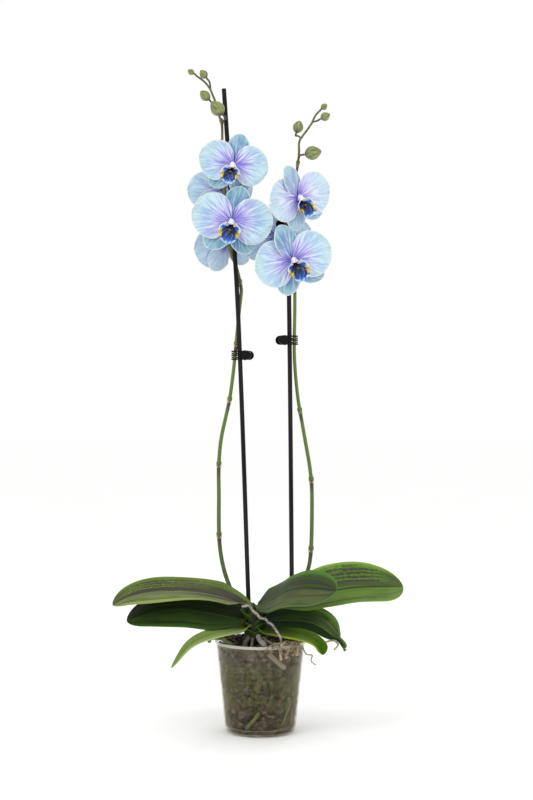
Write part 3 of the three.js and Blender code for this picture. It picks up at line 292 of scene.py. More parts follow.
# Roots that show through the wall, with their (x, height) points along it
WallRoot = namedtuple("WallRoot", "first last colours places")
TIP_COLOURS = ("#8a6a3c", "#b98f55", "#c07f45")
WALL_ROOTS = {
    "wall_root_pale": WallRoot(3.6, 3.3, ("#6f6a58", "#88826d", "#b0a98c"),
                               [(11, 110), (17, 104), (24, 97), (32, 89)]),
    "wall_root_low": WallRoot(2.6, 2.4, ("#4a5229", "#69723e", "#7c8347"),
                              [(-2, 33), (-7, 25), (-14, 16.5), (-19, 11)]),
    "wall_root_right": WallRoot(1.4, 1.2, ("#46541f", "#667833", "#72833c"),
                                [(38, 46), (36.6, 36), (33, 27), (29, 18), (27, 14)]),
    "wall_root_thin": WallRoot(0.8, 0.6, ("#2c1f19", "#3c2b22", "#6b2a22"),
                               [(-43, 66), (-37, 57.3), (-28, 51), (-21.4, 44.5)]),
    "wall_tip_left": WallRoot(1.5, 1.4, TIP_COLOURS, [(41, 107.5), (42.5, 105)]),
    "wall_tip_right": WallRoot(1.4, 1.3, TIP_COLOURS, [(49, 107), (50.5, 104.5)]),
}
CLIP_WEAR = 0.0003
CHIP_WEAR = 0.0006


def lerp(a, b, t):
    return a + (b - a) * t


def unit(x):
    return min(max(x, 0), 1)


def smooth(x, low, high):
    t = unit((x - low) / (high - low))
    return t * t * (3 - 2 * t)


def hump(x, width):
    return exp(-(x / width) ** 2)


def polar(radius, turn, height):
    return Vector((radius * cos(turn), radius * sin(turn), height))


def around(middle, side, other, radius, turn):
    return middle + side * radius * cos(turn) + other * radius * sin(turn)


def cell(i, j):
    """The corners of one cell of a grid."""
    return [(i, j), (i + 1, j), (i + 1, j + 1), (i, j + 1)]


def along(entries, t):
    """The value at the share t of evenly spaced numbers, on a smooth curve through them."""
    place = unit(t) * (len(entries) - 1)
    i = min(int(place), len(entries) - 2)
    f = place - i
    b, c = entries[i:i + 2]
    a = entries[i - 1] if i else 2 * b - c
    d = entries[i + 2] if i + 2 < len(entries) else 2 * c - b
    return b + f * ((c - a) / 2 + f * (a - 2.5 * b + 2 * c - d / 2 + f * (1.5 * (b - c) + (d - a) / 2)))


class Route:
    """A smooth curve through points, measured by shares of its length."""

    def __init__(self, points, fine=16):
        p = [Vector(q) for q in points]
        p = [2 * p[0] - p[1], *p, 2 * p[-1] - p[-2]]
        self.points = [p[1]]
        for a, b, c, d in zip(p, p[1:], p[2:], p[3:]):
            ta, tb, tc = (sqrt((y - x).length) for x, y in ((a, b), (b, c), (c, d)))
            leave = ((b - a) / ta - (c - a) / (ta + tb) + (c - b) / tb) * tb
            arrive = ((c - b) / tb - (d - b) / (tb + tc) + (d - c) / tc) * tb
            for k in range(1, fine + 1):
                t = k / fine
                self.points.append(b + t * (leave + t * (3 * (c - b) - 2 * leave - arrive
                                                         + t * (2 * (b - c) + leave + arrive))))
        self.reach = [0]
        for a, b in zip(self.points, self.points[1:]):
            self.reach.append(self.reach[-1] + (b - a).length)
        self.length = self.reach[-1]

    def at(self, t):
        far = unit(t) * self.length
        i = min(max(bisect_right(self.reach, far) - 1, 0), len(self.points) - 2)
        step = self.reach[i + 1] - self.reach[i]
        return self.points[i].lerp(self.points[i + 1], (far - self.reach[i]) / step)

    def tangent(self, t):
        return (self.at(min(t + 2e-3, 1)) - self.at(max(t - 2e-3, 0))).normalized()

    def share_at_height(self, height):
        t = 0
        while t < 1 and self.at(t).z < height:
            t += 0.001
        return min(t, 1)


def frames_along(route, steps):
    """Centres with two sideways directions that don't twist."""
    tangent = route.tangent(0)
    side = tangent.cross(UP if abs(tangent.z) < 0.9 else Vector((1, 0, 0))).normalized()
    frames = []
    for j in range(steps + 1):
        turned = route.tangent(j / steps)
        side = (side - turned * side.dot(turned)).normalized()
        frames.append((route.at(j / steps), side, turned.cross(side)))
    return frames


def add_object(name, data):
    made = bpy.data.objects.new(name, data)
    bpy.context.scene.collection.objects.link(made)
    return made


def add_mesh(name, points, faces):
    mesh = bpy.data.meshes.new(name)
    mesh.from_pydata(points, [], faces)
    return add_object(name, mesh)


class Shell:
    """Closed faces in millimetres. Each corner has a place in the map "shape" and a second one in "edge"."""

    def __init__(self):
        self.points, self.faces, self.shape, self.edge, self.paint = [], [], [], [], []

    def face(self, corners, shape, edge=None, paint=0):
        self.faces.append(corners)
        self.shape += shape
        self.edge += edge or shape
        self.paint.append(paint)

    def sheet(self, at, columns, rows, thickness, edge=lambda u, v: (0, 0), paint=0,
              shape=lambda u, v: ((u + 1) / 2, v)):
        """A thin closed sheet round at(u, v), u from -1 to 1 and v from 0 to 1."""
        first, count = len(self.points), (columns + 1) * (rows + 1)
        share = {(i, j): (2 * i / columns - 1, j / rows) for j in range(rows + 1) for i in range(columns + 1)}
        middle = {place: at(*uv) for place, uv in share.items()}
        maps = {place: (shape(*uv), edge(*uv)) for place, uv in share.items()}
        half = {}
        for i, j in share:
            ahead = middle[i, min(j + 1, rows)] - middle[i, max(j - 1, 0)]
            across = middle[min(i + 1, columns), j] - middle[max(i - 1, 0), j]
            half[i, j] = across.cross(ahead).normalized() * thickness(*share[i, j]) / 2
        self.points += [middle[p] + half[p] for p in share] + [middle[p] - half[p] for p in share]

        def quad(corners, levels):
            starts = [first + level * count for level in levels]
            self.face([start + j * (columns + 1) + i for start, (i, j) in zip(starts, corners)],
                      [maps[c][0] for c in corners], [maps[c][1] for c in corners], paint)

        for j in range(rows):
            for i in range(columns):
                a, b, c, d = cell(i, j)
                quad([a, b, c, d], (0, 0, 0, 0))
                quad([a, d, c, b], (1, 1, 1, 1))
        for i in range(columns):
            for a, b in (((i, 0), (i + 1, 0)), ((i + 1, rows), (i, rows))):
                quad([a, b, b, a], (1, 1, 0, 0))
        for j in range(rows):
            for i, levels in ((0, (1, 0, 0, 1)), (columns, (0, 1, 1, 0))):
                quad([(i, j), (i, j), (i, j + 1), (i, j + 1)], levels)

    def rings(self, ring_at, sides, rows, edge=None, paint=0):
        """A closed tube of rings ring_at(turn, share)."""
        first = len(self.points)
        self.points += [ring_at(2 * pi * i / sides, j / rows) for j in range(rows + 1) for i in range(sides)]

        def add(corners):
            self.face([first + j * sides + i % sides for i, j in corners],
                      [(i / sides, j / rows) for i, j in corners],
                      edge and [edge(j / rows) for i, j in corners], paint)

        for j in range(rows):
            for i in range(sides):
                add(cell(i, j))
        for j, order in ((0, range(sides)[::-1]), (rows, range(sides))):
            self.face([first + j * sides + i for i in order], [(0.5, j / rows)] * sides,
                      edge and [edge(j / rows)] * sides, paint)

    def tube(self, route, radius, sides, rows, bump=lambda turn, t: 1, **more):
        frames = frames_along(route, rows)
        self.rings(lambda turn, t: around(*frames[round(t * rows)], radius(t) * bump(turn, t), turn),
                   sides, rows, **more)

    def lathe(self, profile, sides, scale=(1, 1), centre=(0, 0), paint=0):
        """Turned about Z from (radius, height) pairs that go round its section anticlockwise."""
        first = len(self.points)
        rows = []
        for radius, height in profile:
            turns = [2 * pi * i / sides for i in range(sides if radius else 1)]
            rows.append([len(self.points) + (i if radius else 0) for i in range(sides)])
            self.points += [Vector((centre[0] + radius * scale[0] * cos(turn),
                                    centre[1] + radius * scale[1] * sin(turn), height)) for turn in turns]
        last = len(profile) - 1
        for j in range(last):
            # A point on the axis makes its cells triangles
            kept = slice(1, 4) if profile[j][0] == 0 else slice(0, 3 if profile[j + 1][0] == 0 else 4)
            for i in range(sides):
                corners = cell(i, j)[kept]
                self.face([rows[b][a % sides] for a, b in corners],
                          [(a / sides, b / last) for a, b in corners], None, paint)
        return first

    def place(self, first, matrix):
        for i in range(first, len(self.points)):
            self.points[i] = matrix @ self.points[i]

    def piece(self, name, slot, materials, nodes=(), body="root", smooth_faces=True, matrix=None):
        points = [matrix @ p for p in self.points] if matrix else self.points
        piece = add_mesh(name, [p * MM for p in points], self.faces)
        mesh = piece.data
        for map_name, places in (("shape", self.shape), ("edge", self.edge)):
            layer = mesh.uv_layers.new(name=map_name)
            layer.data.foreach_set("uv", [x for place in places for x in place])
        for material in materials:
            mesh.materials.append(material)
        mesh.polygons.foreach_set("material_index", self.paint)
        mesh.polygons.foreach_set("use_smooth", [smooth_faces] * len(self.faces))
        mesh.validate()
        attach(piece, body)
        if nodes:
            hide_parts(*nodes)
        return piece


def linear(code):
    parts = [int(code[i:i + 2], 16) / 255 for i in (1, 3, 5)]
    return (*(c / 12.92 if c < 0.04045 else ((c + 0.055) / 1.055) ** 2.4 for c in parts), 1)


class Value:
    """What a socket gives. Arithmetic with it adds nodes to its material."""

    def __init__(self, look, socket):
        self.look, self.socket = look, socket

    def __add__(self, other):
        return self.look.math("ADD", self, other)

    def __sub__(self, other):
        return self.look.math("SUBTRACT", self, other)

    def __mul__(self, other):
        return self.look.math("MULTIPLY", self, other)

    def __abs__(self):
        return self.look.math("ABSOLUTE", self)

    def most(self, other):
        return self.look.math("MAXIMUM", self, other)

    def span(self, low, high, to_low=0.0, to_high=1.0):
        """From low..high to 0..1, with soft ends."""
        return self.look.node("MapRange", {0: self, 1: low, 2: high, 3: to_low, 4: to_high},
                              interpolation_type="SMOOTHSTEP")


class Look:
    """A material of nodes, with its colour laid on in coats."""

    def __init__(self, name, **shader):
        self.material = bpy.data.materials.new(name)
        self.material.use_nodes = True
        self.tree = self.material.node_tree
        self.set(**shader)

    def set(self, **inputs):
        for name, value in inputs.items():
            socket = name.replace("_", " ").title().replace("Ior", "IOR")
            self.link(value, self.tree.nodes["Principled BSDF"].inputs[socket])

    def link(self, value, socket):
        if isinstance(value, Value):
            self.tree.links.new(value.socket, socket)
        else:
            socket.default_value = linear(value) if isinstance(value, str) else value

    def node(self, kind, inputs=(), output=0, **settings):
        node = self.tree.nodes.new("ShaderNode" + kind)
        for key, value in settings.items():
            setattr(node, key, value)
        for key, value in dict(inputs).items():
            self.link(value, node.inputs[key])
        return Value(self, node.outputs[output])

    def math(self, operation, a, b=0.0, clamp=False):
        return self.node("Math", {0: a, 1: b}, operation=operation, use_clamp=clamp)

    def split(self, vector):
        outputs = self.node("SeparateXYZ", {0: vector}).socket.node.outputs
        return [Value(self, socket) for socket in outputs]

    def uv(self, name="shape"):
        return self.split(self.node("UVMap", uv_map=name))[:2]

    def place(self):
        return self.node("TexCoord", output="Object")

    def noise(self, place, scale=1.0, detail=2.0, rough=0.5, warp=0.0):
        if isinstance(place, tuple):
            place = self.node("CombineXYZ", enumerate(place))
        return self.node("TexNoise", {"Vector": place, "Scale": scale, "Detail": detail, "Roughness": rough,
                                      "Distortion": warp})

    def mix(self, share, a, b):
        node = self.tree.nodes.new("ShaderNodeMix")
        node.data_type = "RGBA"
        for key, value in (("Factor_Float", share), ("A_Color", a), ("B_Color", b)):
            self.link(value, next(s for s in node.inputs if s.identifier == key))
        return Value(self, next(s for s in node.outputs if s.identifier == "Result_Color"))

    def ramp(self, value, *stops):
        """The colour below all coats."""
        self.colour = self.node("ValToRGB", {0: value})
        elements = self.colour.socket.node.color_ramp.elements
        while len(elements) < len(stops):
            elements.new(0.5)
        for element, (place, colour) in zip(elements, stops):
            element.position = place
            element.color = linear(colour)

    def blend(self, share, a, b):
        """The colour below all coats, from one to another."""
        self.colour = self.mix(share, a, b)

    def coat(self, share, colour):
        self.colour = self.mix(share, self.colour, colour)

    def done(self, relief=None, strength=0.3, distance=0.0005):
        self.set(base_color=self.colour)
        if relief:
            self.set(normal=self.node("Bump", {"Strength": strength, "Distance": distance, "Height": relief}))
        return self.material


def petal_look(name, colours, seed, fan, tone):
    """Rays that run from the hub towards the rim. tone lightens (above 0) or darkens (below 0) them all."""
    stops, (ray_colour, gleam_colour, mist_colour, rim_colour) = colours
    look = Look(name, roughness=0.55, specular_ior_level=0.3, sheen_weight=0.08, subsurface_weight=0.08,
                subsurface_scale=0.0012)
    u, v = look.uv()
    reach, rim = look.uv("edge")
    bend = look.noise((u * 5, v * 3, seed), detail=1)
    side = (bend - 0.5) * 2.4 + u * fan
    wide = look.noise((side * 0.4, reach * 0.9, seed + 2), detail=1)
    vein = look.noise((side, reach * 2.2, seed + 9), rough=0.65)
    mist = look.noise((u * 3.5, v * 3.5, seed + 4), detail=3)
    look.ramp(reach + (wide - 0.5) * 0.5, *stops)
    look.coat(mist.span(0.46, 0.64) * reach.span(0.3, 0.7) * 0.6, mist_colour)
    look.coat(vein.span(0.52, 0.6) * reach.span(1.0, 0.15, 0.3, 1.0) * 0.8, gleam_colour)
    rays = vein.span(0.47, 0.38) * reach.span(0.95, 0.1, 0.22, 1.0)
    look.coat(rays * 0.85, ray_colour)
    look.coat(wide.span(0.62, 0.42) * reach.span(0.5, 0.1) * 0.55, "#5a48c0")
    look.coat(rim.span(0.2, 0.02) * 0.85, rim_colour)
    look.coat(reach.span(0.06, 0.4) * abs(tone), "#e8eeff" if tone > 0 else "#5f8fb8")
    return look.done(rays * -0.5 + vein * 0.7, 0.4)


def leaf_look(name, towards, skin):
    """Two halves beside a midrib, with rows of dashes, long stripes and a dusky base."""
    look = Look(name, roughness=0.5, specular_ior_level=skin.gloss)
    u, v = look.uv()
    side = (u * 2 - 1) * towards
    off = abs(side)
    seed = len(name) * 1.7

    def band(low, high, amount, soft=0.12):
        return side.span(low, low + soft) * side.span(high, high - soft) * amount

    def streaks(across, ahead, shift, **more):
        return look.noise((side * across, v * ahead, seed + shift), **more)

    fibres = streaks(30, 1.6, 0)
    cloud = streaks(2, 5, 0, detail=3)
    look.blend(side.span(-0.04, 0.04), skin.near, skin.far)
    look.coat(cloud.span(0.4, 0.68) * 0.7, skin.deep)
    if skin.tip:
        begin, full, tip = skin.tip
        look.coat(v.span(begin, full), tip)
    low, high, clear = skin.clear
    look.coat(band(low - 0.2, high + 0.2, 0.85, 0.2) * v.span(0.06, 0.4), clear)
    if skin.blotch:
        low, high, begin, full, dusk = skin.blotch
        look.coat(band(low, high + 0.2, 0.9, 0.2) * v.span(begin, full) * cloud.span(0.3, 0.5), dusk)
    drift = streaks(2, 5, 8, detail=1)
    lanes = abs(look.math("FRACT", drift * 1.5 + side * 6.5) - 0.5).span(0.5, 0.0)
    dash = lanes * 0.2 + (drift * 0.25 + streaks(22, 52, 1, detail=3, rough=0.75))
    dash = dash.span(0.67, 0.78) * band(*skin.dashes) * v.span(0.1, 0.3)
    stripe = streaks(9, 0.8, 3).span(0.47, 0.6) * band(*skin.stripes)
    wash = band(*skin.wash, 0.3) * v.span(0.52, 0.12) * cloud.span(0.2, 0.45)
    dark = dash.most(stripe).most(wash) * off.span(0.98, 0.88)
    look.coat(dark * fibres.span(0.2, 0.5, 0.6, 1.0), skin.mottle)
    look.coat(fibres.span(0.52, 0.7) * 0.2, skin.rim)
    look.coat(off.span(0.03, 0.008) * skin.rib_share * v.span(0.02, 0.2), skin.rib)
    look.coat(off.span(0.95, 0.99) * v.span(0.15, 0.45, 0.0, 0.85), skin.rim)
    return look.done(fibres * 0.5 + off.span(0.05, 0.0) * -1.2, 0.35, 0.0006)


def root_look(name, dark, pale, tip):
    look = Look(name, roughness=0.85, specular_ior_level=0.2)
    u, v = look.uv()
    spots = look.noise(look.place(), 380, 4, 0.7)
    bands = look.noise((v * 26, u * 3), detail=3)
    look.ramp(spots * 0.6 + bands * 0.4, (0.4, dark), (0.52, pale), (0.75, pale))
    look.coat(v.span(0.93, 0.99), tip)
    return look.done(spots, 0.6, 0.0006)


def stem_look():
    look = Look("stem_green", roughness=0.45, specular_ior_level=0.45)
    u, v = look.uv()
    age, node = look.uv("edge")
    spots = look.noise(look.place(), 260, 3, 0.6)
    look.ramp((spots - 0.5) * 0.5 + age, (0.0, "#3a3527"), (0.12, "#4a5a22"), (0.4, "#587026"),
              (0.7, "#66752b"), (0.9, "#6b6a35"), (1.0, "#5c5636"))
    look.coat(node.span(0.12, 1.0) * spots.span(0.3, 0.55, 0.75, 1.0) * 0.88, "#3d2a26")
    return look.done(look.noise((u * 22, v * 40), detail=3), 0.25, 0.0004)


def plain_look(name, dark, light, scale, bump, **shader):
    look = Look(name, **shader)
    spots = look.noise(look.place(), scale, 4, 0.6)
    look.blend(spots.span(0.3, 0.7), dark, light)
    return look.done(spots, bump)


def bark_look():
    """The map "edge" tells each chip's own tone, and how deep a place lies between the chips, where painted
    shade darkens the gaps.
    """
    look = Look("bark_chips", roughness=0.9, specular_ior_level=0.15)
    place = look.place()
    own, gap = look.uv("edge")
    grain = look.noise(place, 330, 4, 0.7)
    look.ramp((grain - 0.5) * 2.2 + (own * 0.36 + 0.33), (0.0, "#1f1913"), (0.3, "#3d342a"),
              (0.55, "#544a3d"), (0.8, "#6c5f4f"), (1.0, "#8b7b67"))
    height = look.split(place)[2]
    algae = look.noise(place, 70, 4, 0.75).span(0.42, 0.54) * grain.span(0.42, 0.56)
    look.coat(algae * height.span(0.028, 0.05) * height.span(0.099, 0.088) * 0.85, "#525f22")
    look.coat(look.noise(place, 170, 2).span(0.62, 0.7) * 0.45, "#6a3628")
    # painted shade: the gaps between the chips are darkened as if in shadow
    look.coat(gap * 0.52, "#221d19")
    return look.done(grain, 0.8, 0.0012)


def pot_look():
    """Clear plastic, hazed inside. It is milkier where it is seen on edge."""
    look = Look("pot_plastic", roughness=0.3, specular_ior_level=0.5)
    place = look.place()
    x, y, height = look.split(place)
    streaks = look.noise((x * 260, y * 260, height * 12), detail=3)
    stains = look.noise(place, 38, 5, 0.65)
    haze = stains.span(0.35, 0.75) * 0.03 + 0.012
    haze += streaks.span(0.5, 0.7) * 0.05
    haze += height.span(0.06, 0.112) * 0.03
    for ring in (0.0036, 0.0092):
        haze += abs(height - ring).span(0.0009, 0.0002) * 0.16
    facing = look.node("LayerWeight", {"Blend": 0.3}, "Facing")
    haze += look.math("POWER", facing, 2.7) * 0.8
    lip = height.span(0.1155, 0.1172)
    look.set(alpha=look.math("ADD", haze, lip * 0.35, clamp=True))
    look.blend(stains.span(0.4, 0.7), "#cdc6a6", "#a6a07c")
    look.coat(lip, "#dcdbd4")
    return look.done()


def lobe_look(seed):
    look = Look("lip_lobe_" + str(seed), roughness=0.42, specular_ior_level=0.35)
    u, v = look.uv()
    stripes = look.noise((u * 15, v * 2.5, seed))
    cloud = look.noise((u * 5, v * 5, seed + 3), detail=3)
    # the near-black base of the ramp is the lobe's navy dye deepened with painted shade inside the cup
    look.ramp((stripes - 0.5) * 0.6 + v, (0.12, "#09061e"), (0.3, "#10145a"), (0.45, "#1f48b6"),
              (0.7, "#2c72d4"), (0.95, "#66aae2"))
    look.coat(u.span(0.62, 0.5) * v.span(0.6, 0.72) * cloud.span(0.22, 0.32),
              look.mix(stripes.span(0.45, 0.6), "#d2b020", "#ece05a"))
    look.coat(u.span(0.2, 0.06) * v.span(0.4, 0.7) * 0.8, "#a2501a")
    top = (u.span(0.76, 0.88) * cloud.span(0.28, 0.42)).most(v.span(0.82, 0.92) * u.span(0.36, 0.5))
    look.coat(top * 0.95, "#eef3f3")
    return look.done(stripes, 0.3, 0.0004)


def middle_lobe_look(seed):
    look = Look("lip_middle_" + str(seed), roughness=0.42, specular_ior_level=0.35)
    u, v = look.uv()
    off = abs(u * 2 - 1)
    stripes = look.noise((v * 5 + u * 9, v * 1.5, seed), warp=0.4)
    cloud = look.noise((u * 7, v * 7, seed + 2), detail=3)
    # the near-black low stops are the lip's dark dye deepened with painted shade in the hollow of the cup
    look.ramp((cloud - 0.5) * 0.4 + v, (0.3, "#060414"), (0.55, "#0b0a34"), (0.72, "#131e66"),
              (0.87, "#2250b4"), (0.98, "#72b4ea"))
    look.coat(abs(stripes - 0.5).span(0.026, 0.006) * v.span(0.3, 0.45) * 0.55, "#5a98e8")
    look.coat(off.span(0.72, 0.86) * v.span(0.5, 0.56) * v.span(0.78, 0.7),
              look.mix(cloud.span(0.42, 0.58), "#d0a020", "#e6d94a"))
    hem = (off.span(0.6, 0.9) * v.span(0.76, 0.84)).most(v.span(0.88, 0.96))
    look.coat(hem * 0.92, look.mix(cloud.span(0.42, 0.52), "#4f9ae2", "#eef6fa"))
    return look.done(stripes, 0.3, 0.0004)


def sheath_look():
    look = Look("crown_sheaths", roughness=0.55, specular_ior_level=0.15)
    u, v = look.uv()
    lines = look.noise((u * 30, v))
    look.ramp((lines - 0.5) * 0.6 + v, (0.05, "#15180b"), (0.45, "#1f2810"), (0.75, "#293c14"),
              (1.0, "#3a551d"))
    look.coat(abs(u * 2 - 1).span(0.9, 1.0) * 0.3, "#47602a")
    return look.done(lines, 0.3, 0.0004)


def stake_look():
    look = Look("stake_black", roughness=0.5, specular_ior_level=0.14)
    u, v = look.uv()
    grooves = look.noise((u * 20, v * 6))
    look.blend(grooves.span(0.35, 0.65), "#0e0b0c", "#252021")
    return look.done(grooves, 0.5)


def column_look(name):
    look = Look("column_" + name, roughness=0.4, specular_ior_level=0.5, subsurface_weight=0.1,
                subsurface_scale=0.001)
    look.blend(look.noise(look.place(), 420, 3).span(0.4, 0.65), "#f7f5ee", "#d5d6dd")
    look.coat(look.uv()[1].span(0.75, 0.5), "#6a58c8")
    return look.done()


def bud_look(name, width):
    look = Look(name + "_skin", roughness=0.45, specular_ior_level=0.45, coat_weight=0.05)
    u, v = look.uv()
    streaks = look.noise((u * 34, v * 2.4, len(name)), detail=3)
    look.ramp(streaks, (0.3, "#515c2e"), (0.5, "#7f8d4b"), (0.7, "#a5ae6b"))
    look.coat(look.noise((u * 6, v * 2, width)).span(0.42, 0.66) * 0.7, "#665250")
    look.coat(v.span(0.18, 0.0) * 0.8, "#4a3140")
    return look.done(streaks, 0.3, 0.0004)


def stage():
    scene = bpy.context.scene
    scene.camera = add_object("camera", bpy.data.cameras.new("camera"))
    scene.camera.location = CAMERA_PLACE
    scene.camera.rotation_euler = (pi / 2, 0, 0)
    scene.camera.data.sensor_fit = "VERTICAL"
    scene.camera.data.sensor_height = CAMERA_FILM
    scene.camera.data.lens = CAMERA_LENS

    corners = [(x * FLOOR_HALF, y * FLOOR_HALF, 0) for x, y in ((-1, -1), (1, -1), (1, 1), (-1, 1))]
    floor = add_mesh("floor", corners, [(0, 1, 2, 3)])
    floor.data.materials.append(plain_look("floor_paper", "#fcfcfb", "#fdfdfd", 3, 0.02, roughness=0.95))

    for name, (place, size, power, tint) in LAMPS.items():
        light = bpy.data.lights.new(name, "AREA")
        light.shape = "DISK"
        light.size = size
        light.energy = power
        light.color = tint
        lamp = add_object(name, light)
        lamp.location = place
        lamp.rotation_euler = (Vector(place) - LAMPS_AIM).to_track_quat("Z", "Y").to_euler()

    scene.world = bpy.data.worlds.new("studio")
    scene.world.use_nodes = True
    sky = scene.world.node_tree.nodes["Background"]
    sky.inputs[0].default_value = (1, 1, 1, 1)
    sky.inputs[1].default_value = SKY_STRENGTH
    scene.view_settings.view_transform = "Standard"


def pot():
    shell = Shell()
    shell.lathe(POT_PROFILE, 128)
    piece = shell.piece("pot_clear", "pot", [pot_look()], ["pot"])
    drains = Shell()
    for i in range(DRAIN_COUNT):
        turn = 2 * pi * (i + 0.5) / DRAIN_COUNT
        drains.lathe([(0, -3), (DRAIN_RADIUS, -3), (DRAIN_RADIUS, 6), (0, 6)], 24,
                     centre=(DRAIN_CIRCLE * cos(turn), DRAIN_CIRCLE * sin(turn)))
    cutter = add_mesh("drains", [p * MM for p in drains.points], drains.faces)
    cut = piece.modifiers.new("drains", "BOOLEAN")
    cut.object = cutter
    cut.solver = "EXACT"
    bpy.context.view_layer.update()
    done = bpy.data.meshes.new_from_object(piece.evaluated_get(bpy.context.evaluated_depsgraph_get()))
    piece.modifiers.clear()
    piece.data = done
    bpy.data.objects.remove(cutter)
    for polygon in done.polygons:
        polygon.use_smooth = True


def inner_radius(height):
    return lerp(45.8, 57.6, (height - 9) / (116.6 - 9)) if height > 9 else lerp(40, 45.4, height / 9)


def wall_points(data):
    """Points of a root that lies against the inside of the wall."""
    points = []
    for x, height in data.places:
        radius = inner_radius(height) - data.first - 0.3
        points.append((x, -sqrt(radius ** 2 - x ** 2), height))
    return points


def bark_wall(look):
    """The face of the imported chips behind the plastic, as cells of their own depth and slant."""
    noise.seed_set(WALL_SEED)
    shell = Shell()
    beds = []
    for data in WALL_ROOTS.values():
        route = Route(wall_points(data))
        beds += [(route.at(k / 8), max(data.first, data.last)) for k in range(9)]

    def facet(i, j):
        turn, height = 2 * pi * i / WALL_SIDES, lerp(WALL_LOW, WALL_HIGH, j / WALL_ROWS)
        radius = inner_radius(height)
        place = Vector((radius * cos(turn) / 7.5, radius * sin(turn) / 7.5, height / 5))
        place += noise.noise_vector(place * 1.3) * 0.35
        apart, seeds = noise.voronoi(place)
        own = noise.cell(seeds[0] * 7.3 + Vector((3, 5, 7)))
        slant = noise.cell_vector(seeds[0] * 5.1 + Vector((1, 2, 3))) - Vector((0.5, 0.5, 0.5))
        gap = smooth(sqrt(apart[1]) - sqrt(apart[0]), 0.16, 0.0)
        depth = 0.45 + 0.7 * own + 1.6 * abs((place - seeds[0]).dot(slant)) + 1.0 * gap
        depth += 0.3 * abs(noise.noise(place * 9))
        here = polar(radius, turn, height)
        for middle, thick in beds:
            depth = max(depth, 2.1 * thick * smooth((here - middle).length, 2 * thick + 1.5, 1.2 * thick))
        shell.points.append(polar(radius - depth, turn, height))
        # gap also tells the bark look where to paint shade between the chips
        return own, gap

    told = [[facet(i, j) for i in range(WALL_SIDES)] for j in range(WALL_ROWS + 1)]
    for j in range(WALL_ROWS):
        for i in range(WALL_SIDES):
            around_wall = [(a % WALL_SIDES, b) for a, b in cell(i, j)]
            shell.face([b * WALL_SIDES + a for a, b in around_wall],
                       [(a / WALL_SIDES, b / WALL_ROWS) for a, b in around_wall],
                       [told[b][a] for a, b in around_wall])
    for j, height in ((0, WALL_LOW), (WALL_ROWS, WALL_HIGH)):
        middle = len(shell.points)
        shell.points.append(Vector((0, 0, height)))
        for i in range(WALL_SIDES):
            corners = [middle, j * WALL_SIDES + i, j * WALL_SIDES + (i + 1) % WALL_SIDES]
            shell.face(corners if j else corners[::-1], [(0, 0)] * 3, [(0.3, 0.6)] * 3)
    shell.piece("bark_wall", "bark", [look], ["bark_filling"])


def chip(shell, random_, centre, size, axes):
    """One rough block with its corners knocked off, on three axes."""
    first = len(shell.points)
    for signs in ((x, y, z) for x in (-1, 1) for y in (-1, 1) for z in (-1, 1)):
        corner = [sign * random_.uniform(least, 1) for sign, least in zip(signs, (0.7, 0.7, 0.6))]
        shell.points.append(centre + sum((axes[k] * corner[k] * size[k] / 2 for k in range(3)),
                                         Vector((0, 0, 0))))
    own = random_.random()
    for quad in ((0, 1, 3, 2), (4, 6, 7, 5), (0, 4, 5, 1), (2, 3, 7, 6), (0, 2, 6, 4), (1, 5, 7, 3)):
        shell.face([first + k for k in quad], [(0, 0)] * 4, [(own, 0)] * 4)


def bark():
    look = bark_look()
    bark_wall(look)
    random_ = random.Random(12)
    chips = Shell()
    for i in range(CHIP_COUNT):
        turn = SPIRAL_TURN * i
        reach = CHIPS_REACH * sqrt((i + 0.5) / CHIP_COUNT)
        size = [random_.uniform(*limits) for limits in ((7, 14), (5, 8), (3, 6))]
        x, y, z = (random_.uniform(*limits) for limits in ((-0.5, 0.5), (-0.5, 0.5), (0, pi)))
        basis = Matrix.Rotation(z, 3, "Z") @ Matrix.Rotation(x, 3, "X") @ Matrix.Rotation(y, 3, "Y")
        if hypot(reach * cos(turn) - CROWN_X, reach * sin(turn)) < CROWN_ROOM:
            continue
        heap = smooth(reach * (sin(turn) + 0.5 * abs(cos(turn))), 12, 46)
        height = CHIPS_HEIGHT + random_.uniform(-1.5, 1.5) + CHIPS_HEAP * heap
        chip(chips, random_, polar(reach, turn, height), size, basis.col)
    worn = chips.piece("bark_chips", "bark", [look], smooth_faces=False).modifiers.new("worn", "BEVEL")
    worn.width = CHIP_WEAR
    worn.segments = 1


def crown():
    shell = Shell()
    radii, heights = zip(*CROWN_PROFILE)
    profile = [(0, CROWN_FOOT)]
    for k in range(37):
        t = k / 36
        height = along(heights, t)
        ridge = 0.5 * sin(height * 0.9)
        profile.append((max(along(radii, t) + ridge * (1 - t), 0.6), height))
    profile.append((0, CROWN_TOP))
    shell.lathe(profile, 32, (1, CROWN_DEPTH), (CROWN_X, 0))
    core = plain_look("crown_core", "#1b2410", "#37421d", 160, 0.5, roughness=0.7, specular_ior_level=0.1)
    shell.piece("crown_core", "stem", [core], ["stem_base"])

    # The sheath of each leaf, wrapped round the crown below its blade
    sheaths = Shell()
    for rank, rib in enumerate(sorted((data["rib"] for data in LEAVES.values()), key=lambda rib: rib[0][2])):
        start, ahead = Vector(rib[0]), Vector(rib[2]) - Vector(rib[0])
        facing = atan2(ahead.y, ahead.x)
        reach = 9.2 + 0.45 * rank

        def at(u, v):
            turn = facing + u * lerp(2.3, 1.25, v ** 1.5)
            out = reach + 6.5 * v ** 2.5 * (1 - u * u) + 1.2 * v
            height = start.z - 22 + 23.5 * v - 7 * u * u * v
            return Vector((CROWN_X + out * cos(turn), out * sin(turn) * 0.88, height))

        sheaths.sheet(at, 26, 14, lambda u, v: 0.8)
    sheaths.piece("crown_sheaths", "leaf", [sheath_look()])


